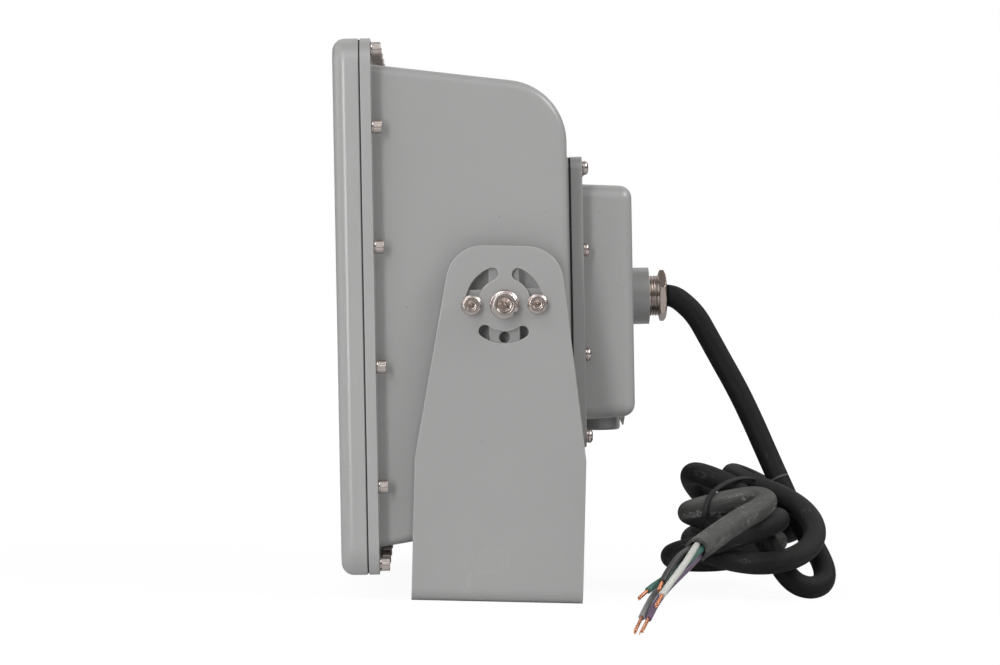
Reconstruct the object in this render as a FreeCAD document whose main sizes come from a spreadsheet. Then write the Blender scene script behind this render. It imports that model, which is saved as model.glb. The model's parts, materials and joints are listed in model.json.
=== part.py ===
import FreeCAD, Part
import math
import os
import re

import Sketcher
from FreeCAD import Placement, Rotation, Vector

# A cast floodlight held in a folded steel yoke, with its free rubber cord, in millimetres.
# +Z is up, the light faces -Y, the cord leaves towards +Y and the pivot runs along X.
# The origin is the centre of the yoke base's underside. Pieces of the head are drawn square
# to the pivot and then turned with it, so in their own lists x is across, y is rearwards of
# the pivot and z is above it.

SIZES = {
    # Yoke
    "pivot_height": 217.3,
    "rest_tilt": 2.4,
    "yoke_side_gap": 2,
    "yoke_sheet": 5,
    "yoke_depth": 125,
    "arm_above_pivot": 42.7,
    "yoke_bend": 5,
    "taper_below_pivot": 112.6,
    "taper_angle": 8.55,
    "arm_corner": 27,
    "slot_width": 9,
    "slot_low_angle": 4.5,
    "slot_high_angle": 67,
    "lower_slot_half_angle": 35,
    "base_centre_hole": 14,
    "base_side_hole": 11,
    "base_side_spacing": 100,
    # Pivot and locking bolts
    "arm_gap": 0.3,
    "washer_gap": 0.2,
    "pivot_thread": 12,
    "pivot_head": 18,
    "pivot_head_height": 12,
    "pivot_socket": 10,
    "pivot_washer": 21.1,
    "pivot_washer_thickness": 2.5,
    "pivot_engagement": 22,
    "lock_radius": 24,
    "lock_thread": 8,
    "lock_head": 13,
    "lock_head_height": 8,
    "lock_socket": 6,
    "lock_washer": 14.8,
    "lock_washer_thickness": 2,
    "lock_engagement": 14,
    "hole_clearance": 0.6,
    "thread_clearance": 0.1,
    "tap_runout": 1,
    "overrun": 1,
    # Housing
    "flange_back": 94.1,
    "flange_thickness": 7.5,
    "door_width": 400,
    "door_height": 390,
    "door_corner": 20,
    "flange_side_overhang": 24,
    "housing_side_slope": 7,
    "flange_top_overhang": 18.4,
    "housing_top_slope": 7,
    "flange_bottom_overhang": 19,
    "housing_bottom_slope": 8.5,
    "housing_rear": 48.4,
    "rear_round": 46,
    "side_round": 7,
    "wall": 5,
    "boss_arm_half_width": 11,
    "boss_root_depth": 30,
    "pad_height": 2.1,
    # Front door, its screws and gasket
    "door_gasket_thickness": 1,
    "door_gasket_inset": 1,
    "door_depth": 19,
    "door_edge": 9,
    "door_back_edge": 1,
    "door_screw_side_inset": 11.5,
    "door_screw_side_end": 64.5,
    "door_screw_row_inset": 8,
    "door_screw_row_end": 15,
    "door_screw_engagement": 9,
    "small_thread": 6,
    "small_head": 10,
    "small_head_height": 6,
    "small_socket": 5,
    "small_washer_thickness": 1.6,
    # Lens
    "door_rail": 36,
    "window_corner": 14,
    "lens_lip": 5,
    "lens_seat": 9,
    "lens_gasket_thickness": 1.5,
    "lens_thickness": 6,
    "lens_clearance": 0.5,
    "lens_gasket_inset": 1,
    "retainer_ledge": 10,
    "retainer_thickness": 3,
    "retainer_thread": 4,
    "retainer_head": 7.6,
    "retainer_head_height": 2.4,
    "retainer_engagement": 5,
    "retainer_screw_spread": 0.7,
    # LED tray
    "post_side_inset": 21,
    "post_end_inset": 56,
    "post_width": 16,
    "plate_face": 84,
    "plate_thickness": 4,
    "plate_side_gap": 10,
    "plate_end_gap": 15,
    "plate_thread": 5,
    "plate_head": 8.5,
    "plate_head_height": 5,
    "plate_socket": 4,
    "plate_engagement": 12,
    "board_gap": 4,
    "board_side_margin": 23,
    "board_end_margin": 6,
    "relief_gap": 1,
    "board_thickness": 1.6,
    "chip_size": 7,
    "chip_height": 1.2,
    "chip_pitch": 32,
    "optic_rim": 3,
    "optic_plate": 2,
    "optic_margin": 2,
    "dome_width": 20,
    "dome_height": 7,
    "dome_sunk": 0.5,
    # Driver box
    "box_gasket_thickness": 1.7,
    "box_gasket_inset": 0.5,
    "box_flange_thickness": 8.6,
    "box_flange_half_width": 120,
    "box_flange_half_height": 108.4,
    "box_flange_corner": 10,
    "box_side_ledge": 20,
    "box_end_ledge": 20.1,
    "box_depth": 37.9,
    "box_draft": 3,
    "box_edge": 9.5,
    "box_side_edge": 10.5,
    "box_side_wall": 8,
    "box_end_wall": 7.3,
    "box_screw_side_inset": 10,
    "box_screw_side_pitch": 78,
    "box_screw_row_inset": 8.4,
    "box_screw_engagement": 6,
    "button_head": 10.5,
    "button_head_height": 3.3,
    "button_socket": 4,
    "hub_width": 31,
    "hub_from_flange": 15.2,
    "hub_projection": 11.7,
    "hub_round": 2.5,
    "hub_plug": 20,
    "hub_plug_height": 10,
    "lug_across": 14,
    "lug_thickness": 6,
    "lug_projection": 7.7,
    "lug_from_flange": 32.2,
    "lug_root_front": 5.5,
    "lug_root_rear": 2.5,
    "lug_tip_half": 0.4,
    "lug_sunk": 4,
    "cable_boss": 43.8,
    "cable_boss_length": 16.6,
    "cable_axis_height": 3,
    # Driver, terminals and leads
    "driver_width": 150,
    "driver_height": 56,
    "driver_depth": 30,
    "driver_bottom": 20,
    "driver_edge": 2,
    "driver_ear": 9,
    "driver_ear_thickness": 2,
    "terminal_width": 60,
    "terminal_height": 22,
    "terminal_depth": 18,
    "terminal_top": -38,
    "terminal_screw_inset": 5,
    "inner_thread": 4,
    "inner_head": 7,
    "inner_head_height": 2.4,
    "inner_engagement": 3.5,
    "inner_runout": 0.3,
    "earth_across": -62,
    "earth_up": -50,
    "lead_width": 3,
    "lead_pitch": 3.4,
    "lead_bend": 6,
    "wire_hole": 20,
    "wire_hole_across": 50,
    "wire_hole_up": -30,
    # Gland
    "gland_thread": 30,
    "gland_bore": 19,
    "gland_seat": 10,
    "gland_projection": 10,
    "gland_seal_length": 12,
    "gland_seal_wall": 2,
    "nut_across_flats": 35,
    "nut_flange": 40,
    "nut_flange_thickness": 1.5,
    "nut_hex_thickness": 4.9,
    "nut_lip": 3,
    "nut_start": 24.3,
    "nut_turn": 11.5,
    # Cord
    "cord_width": 17,
    "cord_fit": 0.15,
    "cord_inside": 36,
    "core_width": 4.6,
    "copper_width": 2.8,
    "coil_across": 50,
    "coil_behind": 186,
    "coil_radius": 70,
    "coil_eye": 22,
    "coil_height": 96,
    "coil_edge": 14,
    "tie_width": 4,
    "tie_thickness": 1.4,
    "tie_low": 22,
}

document = FreeCAD.newDocument("yoke_floodlight")
sheet = document.addObject("Spreadsheet::Sheet", "Sizes")
for row, (alias, value) in enumerate(SIZES.items(), start=1):
    sheet.set(f"A{row}", alias)
    sheet.set(f"B{row}", str(value))
    sheet.setAlias(f"B{row}", alias)
document.recompute()

# Turns that lay a piece drawn along +Z along another direction
TO_RIGHT = Rotation(Vector(0, 1, 0), 90)
TO_LEFT = Rotation(Vector(0, 1, 0), -90)
TO_REAR = Rotation(Vector(1, 0, 0), -90)
TO_FRONT = Rotation(Vector(1, 0, 0), 90)
UPRIGHT = Rotation()

# Places along the head, each worked out from the sizes that lie between it and the pivot
FLANGE_FRONT = "-(flange_back + flange_thickness)"
DOOR_BACK = f"({FLANGE_FRONT} - door_gasket_thickness)"
DOOR_FRONT = f"({DOOR_BACK} - door_depth)"
LENS_GASKET_FRONT = f"({DOOR_FRONT} + lens_lip)"
LENS_FRONT = f"({LENS_GASKET_FRONT} + lens_gasket_thickness)"
RETAINER_FRONT = f"({LENS_FRONT} + lens_thickness)"
RETAINER_BACK = f"({RETAINER_FRONT} + retainer_thickness)"
PLATE_FRONT = "(-plate_face)"
PLATE_BACK = "(-plate_face + plate_thickness)"
BOARD_FRONT = f"({PLATE_FRONT} - board_thickness)"
PAD_BACK = "(housing_rear + pad_height)"
BOX_FRONT = f"({PAD_BACK} + box_gasket_thickness)"
BOX_FLANGE_BACK = f"({BOX_FRONT} + box_flange_thickness)"
BOX_BACK = f"({BOX_FLANGE_BACK} + box_depth)"
BOX_INNER_BACK = f"({BOX_BACK} - wall)"
BOSS_BACK = f"({BOX_BACK} + cable_boss_length)"
NUT_BACK = f"({BOX_BACK} + nut_start + nut_flange_thickness + nut_hex_thickness)"
HOUSING_HALF_WIDTH = "(door_width / 2 - flange_side_overhang)"
HOUSING_TOP = "(door_height / 2 - flange_top_overhang)"
HOUSING_BOTTOM = "(door_height / 2 - flange_bottom_overhang)"
ARM_INSIDE = f"({HOUSING_HALF_WIDTH} + yoke_side_gap)"
ARM_OUTSIDE = f"({ARM_INSIDE} + yoke_sheet)"
YOKE_TOP = "(pivot_height + arm_above_pivot)"
TAPER_START = "(pivot_height - taper_below_pivot)"
BOSS_FACE = f"({ARM_INSIDE} - arm_gap)"
BOSS_ROOT = f"({BOSS_FACE} - boss_root_depth)"
BOSS_REACH = "(lock_radius + boss_arm_half_width)"
WINDOW_HALF_WIDTH = "(door_width / 2 - door_rail)"
WINDOW_HALF_HEIGHT = "(door_height / 2 - door_rail)"
LENS_POCKET_HALF_WIDTH = f"({WINDOW_HALF_WIDTH} + lens_seat)"
LENS_POCKET_HALF_HEIGHT = f"({WINDOW_HALF_HEIGHT} + lens_seat)"
RETAINER_HALF_WIDTH = f"({LENS_POCKET_HALF_WIDTH} + retainer_ledge)"
RETAINER_HALF_HEIGHT = f"({LENS_POCKET_HALF_HEIGHT} + retainer_ledge)"
PLATE_HALF_WIDTH = f"({HOUSING_HALF_WIDTH} - wall - plate_side_gap)"
PLATE_HALF_HEIGHT = f"({HOUSING_BOTTOM} - wall - plate_end_gap)"
POST_ACROSS = f"({PLATE_HALF_WIDTH} - post_side_inset)"
POST_UP = f"({PLATE_HALF_HEIGHT} - post_end_inset)"
BOARD_WIDTH = f"({PLATE_HALF_WIDTH} - board_gap / 2 - board_side_margin)"
BOARD_HEIGHT = f"({PLATE_HALF_HEIGHT} - board_gap / 2 - board_end_margin)"
BOX_HALF_WIDTH = "(box_flange_half_width - box_side_ledge)"
BOX_HALF_HEIGHT = "(box_flange_half_height - box_end_ledge)"
CAVITY_HALF_WIDTH = f"({BOX_HALF_WIDTH} - box_side_wall)"
CAVITY_HALF_HEIGHT = f"({BOX_HALF_HEIGHT} - box_end_wall)"
HUB_BOTTOM = f"(-{BOX_HALF_HEIGHT} - hub_projection)"
HUB_BEHIND = f"({BOX_FLANGE_BACK} + hub_from_flange)"

nodes = {}


def linked(text):
    """The expression with every size name pointed at its cell."""
    def point(word):
        return f"Sizes.{word.group()}" if word.group() in SIZES else word.group()
    return re.sub(r"[a-z][a-z_]*", point, str(text))


def number(text):
    return float(sheet.evalExpression(str(text)))


def bind(thing, **formulas):
    for key, text in formulas.items():
        thing.setExpression(key, linked(text))


def seat(thing, x, y, z):
    """Ties the place of a thing to size expressions."""
    for axis, text in zip("xyz", (x, y, z)):
        thing.setExpression(f"Placement.Base.{axis}", linked(text))


def on_head(thing):
    """Lifts a thing drawn about the pivot to it and tilts it."""
    thing.Placement = Placement(Vector(), Rotation(Vector(1, 0, 0), 1))
    thing.setExpression("Placement.Rotation.Angle", linked("rest_tilt"))
    seat(thing, 0, 0, "pivot_height")
    return thing


def node(label, thing, head=True):
    """Names a finished piece, and mounts it on the head unless it is already in place."""
    thing.Label = label
    nodes[label] = on_head(thing) if head else thing
    return thing


def new_body(name):
    return document.addObject("PartDesign::Body", name)


def block(body, name, x, y, z, cut=False):
    """A box between pairs of size expressions."""
    kind = "PartDesign::SubtractiveBox" if cut else "PartDesign::AdditiveBox"
    box = body.newObject(kind, name)
    spans = [f"({high}) - ({low})" for low, high in (x, y, z)]
    bind(box, Length=spans[0], Width=spans[1], Height=spans[2])
    seat(box, x[0], y[0], z[0])
    return box


def rod(body, name, radius, turn, start, length, cut=False):
    """A round bar that starts at a point and runs along the turned +Z."""
    kind = "PartDesign::SubtractiveCylinder" if cut else "PartDesign::AdditiveCylinder"
    bar = body.newObject(kind, name)
    bar.Placement = Placement(Vector(), turn)
    bind(bar, Radius=radius, Height=length)
    seat(bar, *start)
    return bar


def wedge(body, name, y, front, rear, cut=False):
    """A tapered box along y. Each end is given as its half width, bottom and top."""
    kind = "PartDesign::SubtractiveWedge" if cut else "PartDesign::AdditiveWedge"
    solid = body.newObject(kind, name)
    bind(solid, Ymin=y[0], Ymax=y[1])
    bind(solid, Xmin=f"-({front[0]})", Xmax=front[0], Zmin=front[1], Zmax=front[2])
    bind(solid, X2min=f"-({rear[0]})", X2max=rear[0], Z2min=rear[1], Z2max=rear[2])
    return solid


def round_edges(body, name, base, radius, chosen):
    """Rounds those edges of the base for which the test holds."""
    document.recompute()
    names = [f"Edge{i}" for i, edge in enumerate(base.Shape.Edges, start=1) if chosen(edge)]
    fillet = body.newObject("PartDesign::Fillet", name)
    fillet.Base = (base, names)
    bind(fillet, Radius=radius)
    return fillet


def straight_along(edge, axis):
    """True for a straight edge that runs along the axis."""
    if not isinstance(edge.Curve, Part.Line):
        return False
    return abs(edge.Curve.Direction.dot(axis)) > 0.999


def lies_at(value, text, slack=0.01):
    return abs(value - number(text)) < slack


def plate_body(name, half_width, half_height, y, corner):
    """A flat plate across the head with rounded corners."""
    body = new_body(name)
    slab = block(body, "slab", (f"-({half_width})", half_width), y,
                 (f"-({half_height})", half_height))
    round_edges(body, "corners", slab, corner, lambda edge: straight_along(edge, Vector(0, 1, 0)))
    return body


def outline_pad(body, name, points, width):
    """A side outline of points (y, z), padded evenly to both sides of x = 0."""
    sketch = body.newObject("Sketcher::SketchObject", f"{name}_outline")
    plane = [item for item in body.Origin.OriginFeatures if item.Role == "YZ_Plane"][0]
    sketch.AttachmentSupport = [(plane, "")]
    sketch.MapMode = "FlatFace"
    corners = [Vector(number(y), number(z), 0) for y, z in points]
    for i, corner in enumerate(corners):
        sketch.addGeometry(Part.LineSegment(corner, corners[(i + 1) % len(corners)]))
    for i in range(len(corners)):
        sketch.addConstraint(Sketcher.Constraint("Coincident", i, 2, (i + 1) % len(corners), 1))
    for i, corner in enumerate(corners):
        for kind, value, text in (("DistanceX", corner.x, points[i][0]),
                                  ("DistanceY", corner.y, points[i][1])):
            place = sketch.addConstraint(Sketcher.Constraint(kind, -1, 1, i, 1, value))
            sketch.renameConstraint(place, f"{kind}{i}")
            sketch.setExpression(f"Constraints.{kind}{i}", linked(text))
    pad = body.newObject("PartDesign::Pad", name)
    pad.Profile = sketch
    pad.Midplane = True
    bind(pad, Length=width)
    return pad


def cylinder(name, radius, length):
    bar = document.addObject("Part::Cylinder", name)
    bind(bar, Radius=radius, Height=length)
    return bar


def pattern(name, item, places):
    """Copies of one item, each at a place given as x, y, z and a turn."""
    copies = []
    for x, y, z, turn in places:
        copy = document.addObject("App::Link", f"{name}_copy")
        copy.LinkedObject = item
        copy.Placement = Placement(Vector(), turn)
        seat(copy, x, y, z)
        copies.append(copy)
    group = document.addObject("Part::Compound", name)
    group.Links = copies
    return group


def drilled(name, blank, cutters):
    """The blank less all its cutters."""
    tools = document.addObject("Part::Compound", f"{name}_cutters")
    tools.Links = cutters
    cut = document.addObject("Part::Cut", f"{name}_drilled")
    cut.Base = blank
    cut.Tool = tools
    return cut


def socket_screw(name, head, head_height, socket, thread, length):
    """A screw along +Z with the underside of its head at zero."""
    body = new_body(name)
    rod(body, "head", f"{head} / 2", UPRIGHT, (0, 0, 0), head_height)
    rod(body, "shank", f"{thread} / 2", UPRIGHT, (0, 0, f"-({length})"), length)
    hexagon = body.newObject("PartDesign::SubtractivePrism", "socket")
    hexagon.Polygon = 6
    bind(hexagon, Circumradius=f"{socket} / (2 * cos(30))", Height=head_height)
    seat(hexagon, 0, 0, f"{head_height} / 2")
    return body


def spring_washer(name, width, hole, thickness):
    """A split ring that lies on z = 0."""
    body = new_body(name)
    rod(body, "ring", f"{width} / 2", UPRIGHT, (0, 0, 0), thickness)
    rod(body, "hole", f"{hole} / 2 + thread_clearance", UPRIGHT, (0, 0, "-overrun"),
        f"{thickness} + 2 * overrun", cut=True)
    block(body, "split", (0, width), (f"-{thickness} / 4", f"{thickness} / 4"),
          ("-overrun", f"{thickness} + overrun"), cut=True)
    return body


def door_screw_places(y, turn):
    """Side columns of four screws and rows of six along the top and bottom."""
    across = "(door_width / 2 - door_screw_side_inset)"
    up = "(door_height / 2 - door_screw_row_inset)"
    side_pitch = "(door_height - 2 * door_screw_side_end) / 3"
    row_pitch = "(door_width - 2 * door_screw_row_end) / 5"
    places = []
    for side in (-1, 1):
        for step in (-1.5, -0.5, 0.5, 1.5):
            places.append((f"{side} * {across}", y, f"{step} * {side_pitch}", turn))
        for step in (-2.5, -1.5, -0.5, 0.5, 1.5, 2.5):
            places.append((f"{step} * {row_pitch}", y, f"{side} * {up}", turn))
    return places


def box_screw_places(y, turn):
    """Two screws down each side of the driver box and rows of four along its top and bottom."""
    across = "(box_flange_half_width - box_screw_side_inset)"
    up = "(box_flange_half_height - box_screw_row_inset)"
    places = []
    for side in (-1, 1):
        for step in (-0.5, 0.5):
            places.append((f"{side} * {across}", y, f"{step} * box_screw_side_pitch", turn))
        for step in (-1.5, -0.5, 0.5, 1.5):
            places.append((f"{step} * 2 * {across} / 3", y, f"{side} * {up}", turn))
    return places


def retainer_screw_places(y, turn):
    """Three screws along each side of the lens, in the middle of its ledge."""
    across = f"({LENS_POCKET_HALF_WIDTH} + retainer_ledge / 2)"
    up = f"({LENS_POCKET_HALF_HEIGHT} + retainer_ledge / 2)"
    places = []
    for side in (-1, 1):
        for step in (-1, 0, 1):
            spread = f"{step} * retainer_screw_spread"
            places.append((f"{side} * {across}", y, f"{spread} * {up}", turn))
            places.append((f"{spread} * {across}", y, f"{side} * {up}", turn))
    return places


def bolt_places(x, up=0):
    """The locking bolts, before and behind the pivot on both arms."""
    return [(f"{side} * {x}", f"{way} * lock_radius", up, TO_RIGHT if side > 0 else TO_LEFT)
            for side in (-1, 1) for way in (-1, 1)]


def pivot_places(x):
    return [(f"{side} * {x}", 0, 0, TO_RIGHT if side > 0 else TO_LEFT) for side in (-1, 1)]


def corner_places(across, up, y, turn):
    return [(f"{i} * {across}", y, f"{k} * {up}", turn) for i in (-1, 1) for k in (-1, 1)]


def arc_slot(name, start, span):
    """A cutter for a slot about the pivot that opens from straight down round to the rear."""
    outer = document.addObject("Part::Cylinder", f"{name}_outer")
    inner = document.addObject("Part::Cylinder", f"{name}_inner")
    across = f"2 * {ARM_OUTSIDE} + 2 * overrun"
    bind(outer, Radius="lock_radius + slot_width / 2", Height=across, Angle=span)
    bind(inner, Radius="lock_radius - slot_width / 2", Height=f"{across} + 2 * overrun")
    ring = document.addObject("Part::Cut", f"{name}_ring")
    ring.Base = outer
    ring.Tool = inner
    parts = [ring]
    outer.Placement = Placement(Vector(), TO_RIGHT)
    inner.Placement = Placement(Vector(), TO_RIGHT)
    seat(outer, f"-{ARM_OUTSIDE} - overrun", 0, 0)
    seat(inner, f"-{ARM_OUTSIDE} - 2 * overrun", 0, 0)
    for end in ("0", span):
        cap = cylinder(f"{name}_end", "slot_width / 2", across)
        cap.Placement = Placement(Vector(), TO_RIGHT)
        seat(cap, f"-{ARM_OUTSIDE} - overrun", f"lock_radius * sin({end})", f"-lock_radius * cos({end})")
        parts.append(cap)
    slot = document.addObject("Part::MultiFuse", name)
    slot.Shapes = parts
    slot.Placement = Placement(Vector(), Rotation(Vector(1, 0, 0), 1))
    slot.setExpression("Placement.Rotation.Angle", linked(start))
    seat(slot, 0, 0, "pivot_height")
    return slot


def route_wire(points, share=0.45):
    """Straight runs joined by tangent arcs. Returns the wire and the arcs' radii."""
    edges = []
    radii = []
    start = points[0]
    for before, corner, after in zip(points, points[1:], points[2:]):
        into = corner - before
        away = after - corner
        turn = into.getAngle(away)
        trim = share * min(into.Length, away.Length)
        radii.append(trim / math.tan(turn / 2))
        into.normalize()
        away.normalize()
        first = corner - into * trim
        last = corner + away * trim
        inward = away - into
        inward.normalize()
        middle = corner + inward * (radii[-1] / math.cos(turn / 2) - radii[-1])
        edges.append(Part.LineSegment(start, first).toShape())
        edges.append(Part.Arc(first, middle, last).toShape())
        start = last
    edges.append(Part.LineSegment(start, points[-1]).toShape())
    return Part.Wire(edges), radii


def tube(label, points, width):
    """A round solid along a route, checked against its section times its length."""
    wire, radii = route_wire(points)
    first = points[1] - points[0]
    ring = Part.Wire(Part.makeCircle(width / 2, points[0], first))
    solid = wire.makePipeShell([ring], True, False)
    expected = math.pi * width ** 2 / 4 * wire.Length
    if abs(solid.Volume / expected - 1) > 0.01:
        raise ValueError(f"{label} has {solid.Volume:.0f} mm3 where its route gives {expected:.0f}")
    widths = " ".join(f"{radius / width:.1f}" for radius in radii)
    print(f"{label}: {wire.Length:.0f} mm long, radii in its own widths {widths}")
    return solid


def coded(name, shape):
    feature = document.addObject("Part::Feature", name)
    feature.Shape = shape
    return feature


def make_yoke():
    body = new_body("yoke_blank")
    half = "yoke_depth / 2"
    top_half = f"({half} - tan(taper_angle) * ({YOKE_TOP} - {TAPER_START}))"
    side = [(f"-{half}", 0), (half, 0), (half, TAPER_START), (top_half, YOKE_TOP),
            (f"-{top_half}", YOKE_TOP), (f"-{half}", TAPER_START)]
    arms = outline_pad(body, "arms", side, f"2 * {ARM_OUTSIDE}")
    channel = block(body, "channel", (f"-{ARM_INSIDE}", ARM_INSIDE), ("-yoke_depth", "yoke_depth"),
                    ("yoke_sheet", f"{YOKE_TOP} + overrun"), cut=True)
    crown = round_edges(body, "crown", channel, "arm_corner",
                        lambda edge: lies_at(edge.CenterOfMass.z, YOKE_TOP)
                        and straight_along(edge, Vector(1, 0, 0)))
    inner = round_edges(body, "inner_bend", crown, "yoke_bend",
                        lambda edge: lies_at(edge.CenterOfMass.z, "yoke_sheet")
                        and lies_at(abs(edge.CenterOfMass.x), ARM_INSIDE))
    round_edges(body, "outer_bend", inner, "yoke_bend + yoke_sheet",
                lambda edge: lies_at(edge.CenterOfMass.z, "0")
                and straight_along(edge, Vector(0, 1, 0)))
    pivot_tool = cylinder("pivot_hole_tool", "pivot_thread / 2 + hole_clearance",
                          f"2 * {ARM_OUTSIDE} + 2 * overrun")
    pivot_hole = pattern("pivot_hole", pivot_tool,
                         [(f"-{ARM_OUTSIDE} - overrun", 0, "pivot_height", TO_RIGHT)])
    upper_span = "(slot_low_angle + slot_high_angle)"
    slots = [arc_slot("lower_slot", "-lower_slot_half_angle", "(2 * lower_slot_half_angle)"),
             arc_slot("rear_slot", "90 - slot_low_angle", upper_span),
             arc_slot("front_slot", "270 - slot_high_angle", upper_span)]
    depth = "yoke_sheet + 2 * overrun"
    centre = pattern("base_centre", cylinder("base_centre_tool", "base_centre_hole / 2", depth),
                     [(0, 0, "-overrun", UPRIGHT)])
    sides = pattern("base_sides", cylinder("base_side_tool", "base_side_hole / 2", depth),
                    [(f"{side} * base_side_spacing / 2", 0, "-overrun", UPRIGHT) for side in (-1, 1)])
    node("yoke_bracket", drilled("yoke", body, [pivot_hole, *slots, centre, sides]), head=False)


def make_pivot_hardware():
    grip = "(washer_gap + yoke_sheet + arm_gap)"
    bolt = socket_screw("pivot_bolt", "pivot_head", "pivot_head_height", "pivot_socket", "pivot_thread",
                        f"pivot_washer_thickness + {grip} + pivot_engagement")
    washer = spring_washer("pivot_washer_ring", "pivot_washer", "pivot_thread", "pivot_washer_thickness")
    face = f"({ARM_OUTSIDE} + washer_gap)"
    node("pivot_bolts", pattern("pivot_bolt_pair", bolt, pivot_places(f"({face} + pivot_washer_thickness)")))
    node("pivot_spring_washers", pattern("pivot_washer_pair", washer, pivot_places(face)))
    lock = socket_screw("locking_bolt", "lock_head", "lock_head_height", "lock_socket", "lock_thread",
                        f"lock_washer_thickness + {grip} + lock_engagement")
    ring = spring_washer("locking_washer_ring", "lock_washer", "lock_thread", "lock_washer_thickness")
    node("locking_bolts", pattern("locking_bolt_set", lock, bolt_places(f"({face} + lock_washer_thickness)")))
    node("locking_spring_washers", pattern("locking_washer_set", ring, bolt_places(face)))


def make_housing():
    body = new_body("housing_blank")
    length = "(housing_rear + flange_back)"
    rear = (f"{HOUSING_HALF_WIDTH} - tan(housing_side_slope) * {length}",
            f"-{HOUSING_BOTTOM} + tan(housing_bottom_slope) * {length}",
            f"{HOUSING_TOP} - tan(housing_top_slope) * {length}")
    shell = wedge(body, "shell", ("-flange_back", "housing_rear"),
                  (HOUSING_HALF_WIDTH, f"-{HOUSING_BOTTOM}", HOUSING_TOP), rear)
    back = round_edges(body, "back_rounds", shell, "rear_round",
                       lambda edge: straight_along(edge, Vector(1, 0, 0))
                       and lies_at(edge.CenterOfMass.y, "housing_rear"))
    round_edges(body, "side_rounds", back, "side_round",
                lambda edge: abs(edge.CenterOfMass.x) > number(HOUSING_HALF_WIDTH) / 2
                and edge.CenterOfMass.y > -number("flange_back") + 0.01)
    for side in (-1, 1):
        x = (BOSS_ROOT, BOSS_FACE) if side > 0 else (f"-{BOSS_FACE}", f"-{BOSS_ROOT}")
        thick = ("-boss_arm_half_width", "boss_arm_half_width")
        block(body, "boss_along", x, (f"-{BOSS_REACH}", BOSS_REACH), thick)
        block(body, "boss_up", x, thick, (f"-{BOSS_REACH}", BOSS_REACH))
    pad = block(body, "rear_pad", ("-box_flange_half_width", "box_flange_half_width"),
                ("housing_rear - wall / 2", PAD_BACK), ("-box_flange_half_height", "box_flange_half_height"))
    shaped = round_edges(body, "pad_corners", pad, "box_flange_corner",
                         lambda edge: straight_along(edge, Vector(0, 1, 0))
                         and lies_at(abs(edge.CenterOfMass.x), "box_flange_half_width"))
    flange = block(body, "flange", ("-door_width / 2", "door_width / 2"), (FLANGE_FRONT, "-flange_back"),
                   ("-door_height / 2", "door_height / 2"))
    round_edges(body, "flange_corners", flange, "door_corner",
                lambda edge: straight_along(edge, Vector(0, 1, 0))
                and lies_at(abs(edge.CenterOfMass.x), "door_width / 2"))
    lead_in = "(flange_thickness + overrun)"
    inner_length = f"({length} - wall)"
    mouth = (f"{HOUSING_HALF_WIDTH} - wall + tan(housing_side_slope) * {lead_in}",
             f"-{HOUSING_BOTTOM} + wall - tan(housing_bottom_slope) * {lead_in}",
             f"{HOUSING_TOP} - wall + tan(housing_top_slope) * {lead_in}")
    end = (f"{HOUSING_HALF_WIDTH} - wall - tan(housing_side_slope) * {inner_length}",
           f"-{HOUSING_BOTTOM} + wall + tan(housing_bottom_slope) * {inner_length}",
           f"{HOUSING_TOP} - wall - tan(housing_top_slope) * {inner_length}")
    core = new_body("housing_core")
    inside = wedge(core, "space", (f"{FLANGE_FRONT} - overrun", "housing_rear - wall"), mouth, end)
    round_edges(core, "space_rounds", inside, "rear_round - wall",
                lambda edge: straight_along(edge, Vector(1, 0, 0))
                and lies_at(edge.CenterOfMass.y, "housing_rear - wall"))
    hollow = document.addObject("Part::Cut", "housing_shell")
    hollow.Base = body
    hollow.Tool = core
    post = cylinder("post", "post_width / 2", "plate_face - plate_thickness + housing_rear - wall / 2")
    posts = pattern("posts", post, corner_places(POST_ACROSS, POST_UP, PLATE_BACK, TO_REAR))
    joined = document.addObject("Part::MultiFuse", "housing_solid")
    backing = [pivot_backing(side) for side in (-1, 1)]
    joined.Shapes = [hollow, posts, *backing]
    clear = "small_thread / 2 + hole_clearance / 2"
    door_holes = pattern("door_holes", cylinder("door_hole", clear, "flange_thickness + 2 * overrun"),
                         door_screw_places(f"{FLANGE_FRONT} - overrun", TO_REAR))
    box_tool = cylinder("box_hole", "small_thread / 2 + thread_clearance",
                        "box_screw_engagement + overrun / 2")
    box_holes = pattern("box_holes", box_tool, box_screw_places(PAD_BACK, TO_FRONT))
    post_tool = cylinder("post_hole", "plate_thread / 2 + thread_clearance",
                         "plate_engagement + 2 * tap_runout")
    post_holes = pattern("post_holes", post_tool, corner_places(POST_ACROSS, POST_UP, PLATE_BACK, TO_REAR))
    pivot_tool = cylinder("pivot_tap", "pivot_thread / 2 + thread_clearance", "pivot_engagement + tap_runout")
    pivot_taps = pattern("pivot_taps", pivot_tool,
                         pivot_places(f"({BOSS_FACE} - pivot_engagement - tap_runout)"))
    lock_tool = cylinder("lock_tap", "lock_thread / 2 + thread_clearance", "lock_engagement + tap_runout")
    deep_lock = f"({BOSS_FACE} - lock_engagement - tap_runout)"
    spare_taps = [(f"{side} * {deep_lock}", 0, f"{way} * lock_radius", TO_RIGHT if side > 0 else TO_LEFT)
                  for side in (-1, 1) for way in (-1, 1)]
    lock_taps = pattern("lock_taps", lock_tool, bolt_places(deep_lock) + spare_taps)
    wire_tool = cylinder("wire_hole_tool", "wire_hole / 2", "wall + pad_height + 2 * overrun")
    wire_hole = pattern("wire_holes", wire_tool,
                        [("wire_hole_across", "housing_rear - wall - overrun", "wire_hole_up", TO_REAR)])
    node("main_housing", drilled("housing", joined, [door_holes, box_holes, post_holes, pivot_taps,
                                                     lock_taps, wire_hole]))


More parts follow.
